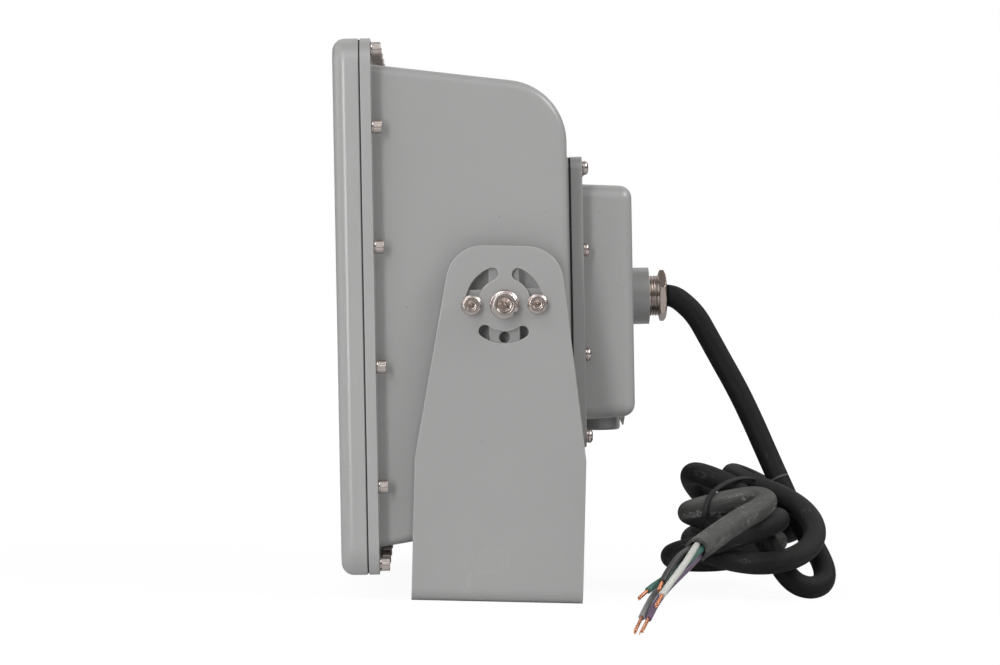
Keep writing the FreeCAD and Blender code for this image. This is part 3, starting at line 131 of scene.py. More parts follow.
def a_number(name, description, default):
    return FloatProperty(name=name, description=description, default=default)


class LightColours(bpy.types.PropertyGroup):
    """The colours of the light's finishes."""
    paint: a_colour("Paint", "Powder coat of castings and yoke", (0.362, 0.36, 0.358))
    stainless: a_colour("Stainless", "Screws and spring washers", (0.56, 0.50, 0.47))
    nickel: a_colour("Nickel", "Plating of the gland", (0.46, 0.395, 0.36))
    # The rubber colour, darkened, also paints the shade band past the fold in the drop; the dust colour,
    # lightened, also paints the highlight line on it.
    rubber: a_colour("Rubber", "Jacket of the cord", (0.008, 0.008, 0.008))
    dust: a_colour("Dust", "Dust and scuffs on the jacket", (0.17, 0.17, 0.165))
    copper: a_colour("Copper", "Bare strands", (0.62, 0.29, 0.17))
    glass: a_colour("Glass", "The toughened lens", (0.93, 0.97, 0.95))


class LightSizes(bpy.types.PropertyGroup):
    """Sizes that the frame doesn't hold."""
    cord_width: a_length("Cord width", "Outer diameter of the jacket", 0.017)
    jacket_bore: a_length("Jacket bore", "Opening in the jacket's cut end", 0.0126)
    core_width: a_length("Core width", "Diameter of an insulated conductor", 0.0046)
    strand_width: a_length("Strand width", "Diameter of one copper strand", 0.0009)
    strand_pitch: a_length("Strand pitch", "Length of one twist of the strands", 0.016)
    tie_width: a_length("Tie width", "Width of the cable tie", 0.004)
    tie_thickness: a_length("Tie thickness", "Thickness of the cable tie", 0.0014)
    thread_pitch: a_length("Thread pitch", "Pitch of the gland's thread", 0.002)
    edge_round: a_length("Edge round", "Softened edge of the castings", 0.0009)
    seed: IntProperty(name="Seed", description="Chooses how the screws are turned", default=4)


class StageSettings(bpy.types.PropertyGroup):
    """The camera, the floor and the lamps."""
    lens: a_number("Lens", "Focal length on a 36 mm sensor", 138.06)
    eye: FloatVectorProperty(name="Eye", description="Place of the camera", default=(2.97, -0.0546, 0.241),
                             subtype="TRANSLATION")
    floor_size: a_length("Floor size", "Side of the floor", 40)
    room: a_number("Room light", "Strength of the room's even light", 0.3)
    key: a_number("Key", "Power of the lamp above the camera", 12)
    fill: a_number("Fill", "Power of the lamp before the lens", 11)
    rim: a_number("Rim", "Power of the lamp over the rear", 20)
    strip: a_number("Strip", "Power of the tall lamp that lines the edges", 27)


class Value:
    """A node's output that takes part in sums, so shader maths reads as an expression."""

    def __init__(self, tree, socket):
        self.tree = tree
        self.socket = socket

    def sum(self, operation, first, second, clamp=False):
        settings = {"operation": operation, "use_clamp": clamp}
        return self.tree.add("ShaderNodeMath", settings, {0: first, 1: second})

    def __add__(self, other):
        return self.sum("ADD", self, other)

    def __sub__(self, other):
        return self.sum("SUBTRACT", self, other)

    def __rsub__(self, other):
        return self.sum("SUBTRACT", other, self)

    def __mul__(self, other):
        return self.sum("MULTIPLY", self, other)

    def __truediv__(self, other):
        return self.sum("DIVIDE", self, other)

    def __pow__(self, other):
        return self.sum("POWER", self, other)

    def held(self):
        return self.sum("ADD", self, 0.0, clamp=True)

    __radd__ = __add__
    __rmul__ = __mul__


class Tree:
    """A node tree to which one method adds every node: its type, its settings, then its inputs."""

    def __init__(self, tree):
        self.tree = tree

    def add(self, kind, settings=None, inputs=None, out=0):
        node = self.tree.nodes.new(kind)
        for name, value in (settings or {}).items():
            if name == "stops":
                while len(node.color_ramp.elements) < len(value):
                    node.color_ramp.elements.new(0.5)
                for stop, (place, colour) in zip(node.color_ramp.elements, value):
                    stop.position = place
                    stop.color = colour
            else:
                setattr(node, name, value)
        for name, value in (inputs or {}).items():
            if isinstance(value, Value):
                self.tree.links.new(value.socket, node.inputs[name])
            else:
                node.inputs[name].default_value = value
        return Value(self, node.outputs[out]) if len(node.outputs) else None

    def noise(self, where, scale, detail=2.0, rough=0.5, stretch=None):
        """Noise about 0.5, of a number of waves a metre."""
        if stretch:
            where = self.add("ShaderNodeMapping", None, {"Vector": where, "Scale": stretch})
        return self.add("ShaderNodeTexNoise", None,
                        {"Vector": where, "Scale": scale, "Detail": detail, "Roughness": rough})

    def between(self, low, high, value):
        """How far a value lies from low to high, as a smooth 0 to 1."""
        return self.add("ShaderNodeMapRange", {"interpolation_type": "SMOOTHSTEP"},
                        {"Value": value, "From Min": low, "From Max": high})

    def mix(self, factor, first, second):
        """One colour laid over another by a factor."""
        node = self.tree.nodes.new("ShaderNodeMix")
        node.data_type = "RGBA"
        for place, value in ((0, factor), (6, first), (7, second)):
            if isinstance(value, Value):
                self.tree.links.new(value.socket, node.inputs[place])
            elif place:
                node.inputs[place].default_value = (*value[:3], 1)
            else:
                node.inputs[place].default_value = value
        return Value(self, node.outputs[2])

    def bump(self, height, strength, distance, normal=None):
        inputs = {"Height": height, "Strength": strength, "Distance": distance}
        if normal:
            inputs["Normal"] = normal
        return self.add("ShaderNodeBump", None, inputs)

    def upright(self, height):
        """A vector straight up by a height."""
        return self.add("ShaderNodeCombineXYZ", None, {"Z": height})

    def lifted(self, geometry, height):
        """A geometry moved straight up by a height."""
        return self.add("GeometryNodeTransform", None,
                        {"Geometry": geometry, "Translation": self.upright(height)})


def material(name):
    """A new material, its tree, its shader and the place in the object that is shaded."""
    made = bpy.data.materials.new(name)
    made.use_nodes = True
    tree = Tree(made.node_tree)
    where = tree.add("ShaderNodeTexCoord", out="Object")
    return made, tree, made.node_tree.nodes["Principled BSDF"], where


def feed(tree, shader, **sockets):
    """Links or sets the shader's sockets, whose names are written with underscores."""
    for name, value in sockets.items():
        socket = shader.inputs[name.replace("_", " ")]
        if isinstance(value, Value):
            tree.tree.links.new(value.socket, socket)
        else:
            socket.default_value = value if isinstance(value, float) else (*value, 1)


def shade(colour, factor):
    return tuple(channel * factor for channel in colour[:3])


def coats(tree, colour, first, *over):
    """Shades of one colour laid over each other, each by its mask."""
    laid = shade(colour, first)
    for mask, factor in over:
        laid = tree.mix(mask, laid, shade(colour, factor))
    return laid


def softened(tree, radius):
    """The normal with its edges rounded, and a mask that is 1 along those edges, which the finishes use to
    paint a highlight on them.
    """
    soft = tree.add("ShaderNodeBevel", {"samples": 6}, {"Radius": radius})
    true = tree.add("ShaderNodeNewGeometry", out="Normal")
    turn = tree.add("ShaderNodeVectorMath", {"operation": "DOT_PRODUCT"}, {0: soft, 1: true}, out="Value")
    return soft, ((1 - turn) * 9).held()


def painted(name, colour, radius, cast=1.0):
    """Semi-gloss powder coat: fine orange peel, faint cloudiness, a painted highlight along the edges, a few
    dark pits.
    """
    made, tree, shader, where = material(name)
    soft, edge = softened(tree, radius)
    cloud = tree.noise(where, 9, 4)
    peel = tree.noise(where, 620, 3)
    grain = tree.noise(where, 1900, 2)
    smear = tree.between(0.35, 0.9, tree.noise(where, 26, 5, 0.62, (1, 1, 0.35)))
    pits = tree.between(0.80, 0.82, tree.noise(where, 330, 1))
    # The edge mask lightens the paint along the rounded edges: a painted highlight.
    colour_map = coats(tree, colour, 0.94, (cloud, 1.05), (grain * 0.22, 0.8), (smear * 0.02, 1.5),
                       (edge * 0.45, 1.85), (pits * 0.5, 0.3))
    height = peel * (0.7 * cast) + grain * 0.3
    feed(tree, shader, Base_Color=colour_map, Roughness=0.23 + cloud * 0.06,
         Normal=tree.bump(height, 0.12, 0.0004, soft))
    return made


def metal(name, colour, rough, radius, brushed=(1, 1, 1), stain=0.15):
    """Bare or plated metal with fine lines, duller patches and a painted highlight along the edges."""
    made, tree, shader, where = material(name)
    soft, edge = softened(tree, radius)
    patch = tree.noise(where, 160, 4, 0.6)
    lines = tree.noise(where, 1400, 3, 0.6, brushed)
    dull = tree.between(0.5, 0.72, patch)
    # The edge mask lightens the metal along its edges: a painted highlight.
    colour_map = coats(tree, colour, 1, (dull * stain, 0.55), (lines * 0.25, 0.7), (edge * 0.4, 1.5))
    feed(tree, shader, Base_Color=colour_map, Metallic=1.0, Normal=tree.bump(lines, 0.06, 0.0002, soft),
         Roughness=lines * 0.1 + dull * 0.08 + (rough - 0.05))
    return made


def moulded(name, colour, rough, grain=900, vary=0.12, depth=0.2):
    """Plastic, rubber or lacquer: fine grain, faint cloudiness, softened edges with a painted highlight
    along them.
    """
    made, tree, shader, where = material(name)
    soft, edge = softened(tree, 0.0004)
    cloud = tree.noise(where, 45, 4, 0.6)
    fine = tree.noise(where, grain, 3)
    # The edge mask lightens the colour along the edges: a painted highlight.
    colour_map = coats(tree, colour, 1 - vary, (cloud, 1 + vary), (fine * 0.3, 0.75), (edge * 0.25, 1.5))
    feed(tree, shader, Base_Color=colour_map, Roughness=fine * 0.2 + cloud * 0.1 + (rough - 0.15),
         Normal=tree.bump(fine, depth, 0.0003, soft))
    return made


def clear(name, colour, index, rough, haze):
    """Clear glass or plastic with a trace of dust."""
    made, tree, shader, where = material(name)
    dust = tree.between(0.5, 0.85, tree.noise(where, 60, 5, 0.65))
    feed(tree, shader, Base_Color=tuple(colour[:3]), Roughness=dust * haze + rough)
    shader.inputs["Transmission Weight"].default_value = 1.0
    shader.inputs["IOR"].default_value = index
    return made


def jacket(name, rubber, dust):
    """Black rubber drawn lengthwise: its drop is clean, its turns a little dusty, its tail worn pale; a
    painted highlight line and a painted shade band mark the crease in the drop.
    """
    made, tree, shader, where = material(name)
    along = tree.add("ShaderNodeUVMap", {"uv_map": "cord"})
    reach = tree.add("ShaderNodeSeparateXYZ", None, {0: along}, out="X")
    up = tree.add("ShaderNodeSeparateXYZ", None,
                  {0: tree.add("ShaderNodeNewGeometry", out="Normal")}, out="Z")
    film = tree.noise(where, 38, 6, 0.66)
    mottle = tree.noise(where, 260, 4, 0.6)
    streak = tree.noise(along, 1.0, 4, 0.6, (26, 9, 1))
    worn = 0.04 + tree.between(*DUSTY_REACH, reach) * 0.11 + tree.between(*WORN_REACH, reach) * 0.8
    # The pale share is larger where the surface faces up.
    settled = tree.between(-0.1, 1.0, up)
    dusty = (worn * (0.45 + settled * 0.75) * (0.45 + film * 0.6 + mottle * 0.5)).held()
    winding = tree.noise(along, 1.0, 3, 0.6, (60, 7, 1)) - 0.5
    nicks = 1 - tree.between(0.00003, 0.0003, winding * winding)
    patch = tree.between(0.57, 0.63, tree.noise(along, 1.0, 2, 0.5, (34, 5.3, 1)))
    scratch = nicks * patch * (0.02 + worn * 0.8)
    # At the fold in the drop a thin ring is painted lighter as a highlight, and the band just past it
    # (under) is painted darker as the shade under the fold.
    past = (reach - FOLD_REACH) * (1 / MM)
    fold_highlight = 1 - tree.between(0.3, 1.0, past * past)
    under = 1 - tree.between(0.2, 1.2, (past - 1.4) ** 2)
    colour_map = tree.mix(dusty, rubber, shade(dust, 0.66))
    colour_map = tree.mix(tree.between(0.45, 0.75, streak) * worn * 0.55, colour_map, shade(dust, 1.15))
    colour_map = tree.mix((scratch + fold_highlight * 0.3).held(), colour_map, shade(dust, 1.7))
    colour_map = tree.mix(under * 0.8, colour_map, shade(rubber, 0.3))
    height = mottle * 0.6 + streak * 0.5 - scratch * 0.6
    feed(tree, shader, Base_Color=colour_map, Roughness=0.5 + dusty * 0.3 + mottle * 0.12,
         Normal=tree.bump(height, 0.3, 0.0004))
    shader.inputs["Specular IOR Level"].default_value = 0.12
    return made


def finishes():
    """A material for each of the record's slots."""
    colours = bpy.context.scene.light_colours
    paint, edge = colours.paint, bpy.context.scene.light_sizes.edge_round
    kinds = {
        # The yoke's wider edge round also widens its painted edge highlight.
        "yoke_paint": (painted, shade(paint, 0.96), edge * 1.5, 0.6),
        "cast_paint": (painted, paint, edge),
        "stainless": (metal, colours.stainless, 0.16, 0.0003),
        "nickel": (metal, colours.nickel, 0.15, 0.0003, (1, 0.2, 1)),
        "plain_steel": (metal, (0.5, 0.5, 0.52), 0.32, 0.0003),
        "tray_aluminium": (metal, (0.72, 0.73, 0.74), 0.36, 0.0005, (0.04, 1, 1), 0.15),
        "black_rubber": (moulded, (0.02, 0.02, 0.02), 0.72, 700),
        "cord_rubber": (jacket, colours.rubber, colours.dust),
        "lens_glass": (clear, colours.glass, 1.5, 0.0, 0.05),
        "optic_clear": (clear, (0.97, 0.98, 0.98), 1.49, 0.01, 0.06),
        "board_white": (moulded, (0.72, 0.73, 0.70), 0.4, 500, 0.04, 0.08),
        "led_yellow": (moulded, (0.83, 0.60, 0.09), 0.45, 2200, 0.08),
        "driver_case": (moulded, (0.09, 0.1, 0.11), 0.5, 800),
        "terminal_grey": (moulded, (0.33, 0.34, 0.34), 0.5, 900),
        "lead_red": (moulded, (0.42, 0.03, 0.025), 0.42, 700),
        "core_white": (moulded, (0.62, 0.62, 0.58), 0.42, 500, 0.1),
        "core_black": (moulded, (0.03, 0.03, 0.03), 0.42, 500, 0.2),
        "core_green": (moulded, (0.05, 0.14, 0.11), 0.42, 500, 0.15),
        "core_purple": (moulded, (0.13, 0.085, 0.15), 0.42, 500, 0.15),
        "core_grey": (moulded, (0.24, 0.24, 0.24), 0.42, 500, 0.1),
        "copper": (metal, colours.copper, 0.3, 0.0002),
        "tie_black": (moulded, (0.006, 0.006, 0.006), 0.62, 600),
    }
    return {slot: make(slot + "_look", *settings) for slot, (make, *settings) in kinds.items()}


def dress(looks):
    """Gives every CAD node the looks of its slots."""
    for node in frame["nodes"].values():
        for place in node.material_slots:
            if place.material and place.material.name in looks:
                place.material = looks[place.material.name]


def body_of(node):
    return frame["nodes"][node].parent.name.split(":")[1]


def islands(name):
    """The separate solids of a node, each as an array of its points."""
    mesh = frame["nodes"][name].data
    points = np.array([v.co[:] for v in mesh.vertices])
    _, same = np.unique(np.round(points, 5), axis=0, return_inverse=True)
    same = same.ravel()
    root = list(range(same.max() + 1))

    def find(i):
        while root[i] != i:
            root[i] = root[root[i]]
            i = root[i]
        return i

    for face in mesh.polygons:
        first = find(same[face.vertices[0]])
        for v in face.vertices[1:]:
            root[find(same[v])] = first
    groups = {}
    for i, point in zip(same, points):
        groups.setdefault(find(i), []).append(point)
    return [np.array(group) for _, group in sorted(groups.items())]


def middle(points, outward):
    """The line's place through a turned solid, with its ends along the outward direction."""
    side = ACROSS if abs(outward.x) < 0.5 else HEAD_BACK
    other = outward.cross(side)
    place = Vector()
    for axis in (side, other):
        reach = points @ np.array(axis)
        place += axis * float(reach.min() + reach.max()) / 2
    reach = points @ np.array(outward)
    return place, float(reach.min()), float(reach.max())


def standing(node, outward=None):
    """Each solid of a node with its outward direction, its place and its ends along it."""
    for solid in islands(node):
        way = outward or ACROSS * math.copysign(1, solid[:, 0].mean())
        yield solid, way, *middle(solid, way)


def geometry_tree(name, numbers):
    """A Geometry Nodes tree with some numbers, a seed and a material as inputs, and these by name."""
    group = bpy.data.node_groups.new(name, "GeometryNodeTree")
    kinds = {"Geometry": "Geometry", **dict.fromkeys(numbers, "Float"), "Seed": "Int",
             "Material": "Material"}
    for label, kind in kinds.items():
        group.interface.new_socket(label, in_out="INPUT", socket_type="NodeSocket" + kind)
    group.interface.new_socket("Geometry", in_out="OUTPUT", socket_type="NodeSocketGeometry")
    tree = Tree(group)
    entry = group.nodes.new("NodeGroupInput")
    return tree, {socket.name: Value(tree, socket) for socket in entry.outputs if socket.name}


def end_tree(tree, get, geometry):
    """Stands a geometry on the points along their outward attribute, each turned by chance."""
    outward = tree.add("GeometryNodeInputNamedAttribute", {"data_type": "FLOAT_VECTOR"}, {"Name": "outward"})
    aim = tree.add("FunctionNodeAlignRotationToVector", {"axis": "Z"}, {"Vector": outward})
    chance = tree.add("FunctionNodeRandomValue", {"data_type": "FLOAT"},
                      {"Max": math.tau, "Seed": get["Seed"]}, out="Value")
    spin = tree.add("FunctionNodeEulerToRotation", None, {0: tree.upright(chance)})
    turned = tree.add("FunctionNodeRotateRotation", {"rotation_space": "LOCAL"},
                      {"Rotation": aim, "Rotate By": spin})
    stood = tree.add("GeometryNodeInstanceOnPoints", None,
                     {"Points": get["Geometry"], "Instance": geometry, "Rotation": turned})
    real = tree.add("GeometryNodeRealizeInstances", None, {0: stood})
    coloured = tree.add("GeometryNodeSetMaterial", None, {"Geometry": real, "Material": get["Material"]})
    tree.add("NodeGroupOutput", None, {0: coloured})
    return tree.tree


def rod(tree, sides, radius, depth, rings=1):
    """A closed bar about its middle."""
    return tree.add("GeometryNodeMeshCylinder", {"fill_type": "NGON"},
                    {"Vertices": sides, "Side Segments": rings, "Radius": radius, "Depth": depth})


def cone(tree, wide, narrow, depth, top):
    """A cone that opens upward to a level, as a countersink or a drill leaves it."""
    blank = tree.add("GeometryNodeMeshCone", {"fill_type": "NGON"},
                     {"Vertices": 40, "Radius Top": wide, "Radius Bottom": narrow, "Depth": depth})
    return tree.lifted(blank, top - depth)


def wound(tree, turns, radius, height, profile):
    """A profile swept round a coil, with its ends closed."""
    coil = tree.add("GeometryNodeCurveSpiral", None,
                    {"Resolution": 48, "Rotations": turns, "Start Radius": radius, "End Radius": radius,
                     "Height": height})
    coil = tree.add("GeometryNodeSetCurveNormal", {"mode": "Z_UP"}, {"Curve": coil})
    return tree.add("GeometryNodeCurveToMesh", None,
                    {"Curve": coil, "Profile Curve": profile, "Fill Caps": True})


def screw_tree():
    """Socket screws: a knurled head with a rounded rim and a hexagon recess, on a plain shank."""
    tree, get = geometry_tree("socket_screws", ["Head Radius", "Head Height", "Rim", "Socket Radius",
                                                "Socket Depth", "Shank Radius", "Shank Length", "Knurl"])
    sides, rings = 64, 6
    height, radius, rim = get["Head Height"], get["Head Radius"], get["Rim"]
    place = tree.add("GeometryNodeInputPosition")
    level = tree.add("ShaderNodeSeparateXYZ", None, {0: place}, out="Z") + 0.5
    past = ((level - 1 / rings) / (1 - 1 / rings)).held()
    lower = tree.add("ShaderNodeMath", {"operation": "MINIMUM"}, {0: level * rings, 1: 1.0})
    crown = 1 - ((radius - rim) / radius) ** 2
    fall = (1 - crown * past * past) ** 0.5
    count = tree.add("GeometryNodeInputIndex")
    tooth = tree.add("ShaderNodeMath", {"operation": "MODULO"}, {0: count, 1: 2.0})
    wide = fall * radius * (1 - tooth * get["Knurl"])
    flat = tree.add("ShaderNodeVectorMath", {"operation": "MULTIPLY"}, {0: place, 1: (1, 1, 0)})
    flat = tree.add("ShaderNodeVectorMath", {"operation": "SCALE"}, {0: flat, "Scale": wide})
    rise = tree.upright((height - rim) * lower + rim * past)
    new = tree.add("ShaderNodeVectorMath", {"operation": "ADD"}, {0: flat, 1: rise})
    head = tree.add("GeometryNodeSetPosition", None,
                    {"Geometry": rod(tree, sides, 1.0, 1.0, rings), "Position": new})
    socket, depth = get["Socket Radius"], get["Socket Depth"]
    tool = tree.lifted(rod(tree, 6, socket, depth * 2), height)
    sink = cone(tree, socket * 1.14, socket * 0.82, socket * 0.32, height + 0.02 * MM)
    drill = cone(tree, socket * 0.84, socket * 0.1, socket * 0.46, height + 0.1 * MM - depth)
    cut = tree.add("GeometryNodeMeshBoolean", {"operation": "DIFFERENCE"}, {0: head, 1: tool})
    for other in (sink, drill):
        tree.tree.links.new(other.socket, cut.socket.node.inputs[1])
    shank = rod(tree, 24, get["Shank Radius"], get["Shank Length"])
    shank = tree.lifted(shank, get["Shank Length"] * -0.5)
    whole = tree.add("GeometryNodeJoinGeometry", None, {0: cut})
    tree.tree.links.new(shank.socket, whole.socket.node.inputs[0])
    return end_tree(tree, get, whole)


def washer_tree():
    """Split spring washers: one turn of a flat bar that doesn't quite close, its ends apart."""
    tree, get = geometry_tree("spring_washers", ["Middle Radius", "Bar Width", "Bar Thickness", "Spring"])
    bar = tree.add("GeometryNodeCurvePrimitiveQuadrilateral", None,
                   {"Width": get["Bar Width"], "Height": get["Bar Thickness"]})
    body = wound(tree, 0.965, get["Middle Radius"], get["Spring"], bar)
    return end_tree(tree, get, tree.lifted(body, get["Bar Thickness"] * 0.5))


def thread_tree():
    """A screw thread: a small ridge wound round a rod."""
    tree, get = geometry_tree("gland_thread", ["Radius", "Pitch", "Length"])
    ridge = tree.add("GeometryNodeCurvePrimitiveCircle", None,
                     {"Resolution": 4, "Radius": get["Pitch"] * 0.36})
    body = wound(tree, get["Length"] / get["Pitch"], get["Radius"], get["Length"], ridge)
    return end_tree(tree, get, body)


def add_object(name, data):
    """A new object in the scene for some data."""
    piece = bpy.data.objects.new(name, data)
    bpy.context.collection.objects.link(piece)
    return piece


def grown(name, group, places, outwards, values, look):
    """A plain mesh from a tree run on points that each have an outward direction."""
    seeds = bpy.data.meshes.new(name + "_points")
    seeds.from_pydata([tuple(p) for p in places], [], [])
    outward = seeds.attributes.new("outward", "FLOAT_VECTOR", "POINT")
    outward.data.foreach_set("vector", [c for d in outwards for c in d])
    source = add_object(name + "_source", seeds)
    modifier = source.modifiers.new("nodes", "NODES")
    modifier.node_group = group
    keys = {item.name: item.identifier for item in group.interface.items_tree if item.in_out == "INPUT"}
    for label, value in {**values, "Seed": bpy.context.scene.light_sizes.seed, "Material": look}.items():
        modifier[keys[label]] = value
    source.update_tag()
    graph = bpy.context.evaluated_depsgraph_get()
    mesh = bpy.data.meshes.new_from_object(source.evaluated_get(graph), depsgraph=graph)
    if not len(mesh.polygons):
        raise RuntimeError(f"{name} came out empty")
    bpy.data.objects.remove(source)
    mesh.name = name
    return add_object(name, mesh)


def new_mesh(name, points, faces, look, flat=()):
    """An object from points and faces, smooth apart from some of its faces."""
    mesh = bpy.data.meshes.new(name)
    mesh.from_pydata([tuple(p) for p in points], [], faces)
    mesh.materials.append(look)
    flat = set(flat)
    mesh.polygons.foreach_set("use_smooth", [i not in flat for i in range(len(faces))])
    mesh.update()
    return add_object(name, mesh)


def smooth_line(points, cyclic=False, steps=6):
    """The points of the smooth NURBS spline that has the given control points, in metres."""
    curve = bpy.data.curves.new("route", "CURVE")
    curve.dimensions = "3D"
    curve.resolution_u = steps
    spline = curve.splines.new("NURBS")
    spline.points.add(len(points) - 1)
    for place, point in zip(spline.points, points):
        place.co = (*(c * MM for c in point), 1)
    spline.use_cyclic_u = cyclic
    spline.order_u = 3
    spline.use_endpoint_u = not cyclic
    holder = add_object("route", curve)
    graph = bpy.context.evaluated_depsgraph_get()
    mesh = bpy.data.meshes.new_from_object(holder.evaluated_get(graph), depsgraph=graph)
    line = [v.co.copy() for v in mesh.vertices]
    bpy.data.objects.remove(holder)
    bpy.data.meshes.remove(mesh)
    return line


def length_of(line):
    return sum((b - a).length for a, b in zip(line, line[1:]))


def frames(line, cyclic=False):
    """Unit tangent, side and rise at each point of a line, carried along it without twist."""
    count = len(line)
    tangents = []
    for i in range(count):
        before = line[(i - 1) % count] if cyclic else line[max(i - 1, 0)]
        after = line[(i + 1) % count] if cyclic else line[min(i + 1, count - 1)]
        tangents.append((after - before).normalized())
    side = tangents[0].orthogonal().normalized()
    rows = []
    for tangent in tangents:
        side = (side - tangent * side.dot(tangent)).normalized()
        rows.append((tangent, side, tangent.cross(side)))
    return rows


def spoke(first, second, turn):
    """The direction at an angle from one axis toward another."""
    return first * math.cos(turn) + second * math.sin(turn)


def quads(a, b, sides):
    """The faces between two rings of points, each given by its first point."""
    return [(a + k, a + (k + 1) % sides, b + (k + 1) % sides, b + k) for k in range(sides)]


def tube(name, line, radius, sides, look, bore=0.0):
    """A round tube with closed ends, whose far end is cut square and shows a bore if it has one."""
    rows = frames(line)
    points, faces, flat = [], [], []

    def ring(at, row, size):
        first = len(points)
        for k in range(sides):
            points.append(at + spoke(row[1], row[2], math.tau * k / sides) * size)
        return first

    rings = [ring(at, row, radius) for at, row in zip(line, rows)]
    if bore:
        inward = rows[-1][0] * -radius * 0.6
        rings.append(ring(line[-1], rows[-1], bore / 2))
        rings.append(ring(line[-1] + inward, rows[-1], bore / 2 * 0.94))
    for n, (a, b) in enumerate(zip(rings, rings[1:])):
        if n >= len(line) - 1:
            flat += range(len(faces), len(faces) + sides)
        faces += quads(a, b, sides)
    flat += [len(faces), len(faces) + 1]
    faces.append(tuple(rings[0] + k for k in reversed(range(sides))))
    faces.append(tuple(rings[-1] + k for k in range(sides)))
    piece = new_mesh(name, points, faces, look, flat)
    along = np.concatenate([[0], np.cumsum([(b - a).length for a, b in zip(line, line[1:])])])
    reach = [*along, *([along[-1]] * (len(rings) - len(line)))]
    layer = piece.data.uv_layers.new(name="cord")
    for face in piece.data.polygons:
        turns = [piece.data.loops[i].vertex_index % sides for i in face.loop_indices]
        wraps = max(turns) - min(turns) > sides / 2
        for i, k in zip(face.loop_indices, turns):
            row = piece.data.loops[i].vertex_index // sides
            layer.data[i].uv = (reach[row], (k / sides) + (1 if wraps and k < sides / 2 else 0))
    return piece


def turns_between(before, here, there, after, steps=3):
    """Points of one quarter of a loose turn, from here up to there."""
    share = math.pi / 4
    quarter = []
    for i in range(steps):
        t = i / steps
        from_here, to_there = 2 * t**3 - 3 * t**2 + 1, 3 * t**2 - 2 * t**3
        leaving, arriving = t**3 - 2 * t**2 + t, t**3 - t**2
        quarter.append(tuple(from_here * h + to_there * n + share * (leaving * (n - b) + arriving * (a - h))
                             for b, h, n, a in zip(before, here, there, after)))
    return quarter


def spline_weights(count, steps=4):
    """The share of each control point in samples of the smooth spline."""
    spans = count - 2
    knots = [0, 0, *range(spans + 1), spans, spans]
    rows = np.zeros((spans * steps + 1, count))
    for row in range(len(rows)):
        t = min(row / steps, spans - 1e-9)
        i = int(t)
        a, b, c, d = knots[i + 1:i + 5]
        left, right, u = (c - t) / (c - a), (d - t) / (d - b), (t - b) / (c - b)
        rows[row, i:i + 3] = left * (1 - u), (1 - left) * (1 - u) + right * u, (1 - right) * u
    return rows


def settle(points, held_first, held_last, gap, floor):
    """Moves the turns' points until no two strands lie in each other or under the floor."""
    home = np.array(points, float)
    now = home.copy()
    weights = spline_weights(len(now))
    share = weights / weights.sum(0)
    free = slice(held_first, len(now) - held_last)
    for k in range(ROUNDS):
        line = weights @ now
        along = np.concatenate([[0], np.cumsum(np.linalg.norm(np.diff(line, axis=0), axis=1))])
        apart = line[:, None] - line[None]
        far = np.linalg.norm(apart, axis=2)
        near = (far < gap) & (np.abs(along[:, None] - along[None]) > ONE_BEND * gap)
        push = np.where(near, (gap - far) / np.maximum(far, 1e-6) * 0.5, 0.0)
        move = (push[:, :, None] * apart).sum(1) / np.maximum(near.sum(1), 1)[:, None]
        low = line[:, 2] < floor
        move[low, 2] += floor - line[low, 2]
        bend = np.zeros_like(now)
        bend[1:-1] = (now[2:] + now[:-2]) / 2 - now[1:-1]
        ease = np.zeros_like(now)
        ease[1:-1] = bend[1:-1] - (bend[2:] + bend[:-2]) / 2
        shift = share.T @ move * PUSH + EASE * ease + RETURN * (home - now) * (1 - k / ROUNDS)
        now[free] += shift[free]
    return [tuple(float(c) for c in point) for point in now]


def cord_points(width):
    """The whole cord's points: the drop, the settled turns and the tail."""
    stations = [DROP[-1], *(place for turn in TURNS for place in turn), LEAVING[0]]
    turns = []
    for four in zip(stations, stations[1:], stations[2:], stations[3:]):
        turns += turns_between(*four)
    points = [EXIT, *DROP, *turns, stations[-2], *LEAVING, *TAIL]
    return settle(points, len(DROP), len(TAIL), width / MM * STRAND_GAP,
                  width / MM / 2 + FLOOR_GAP)


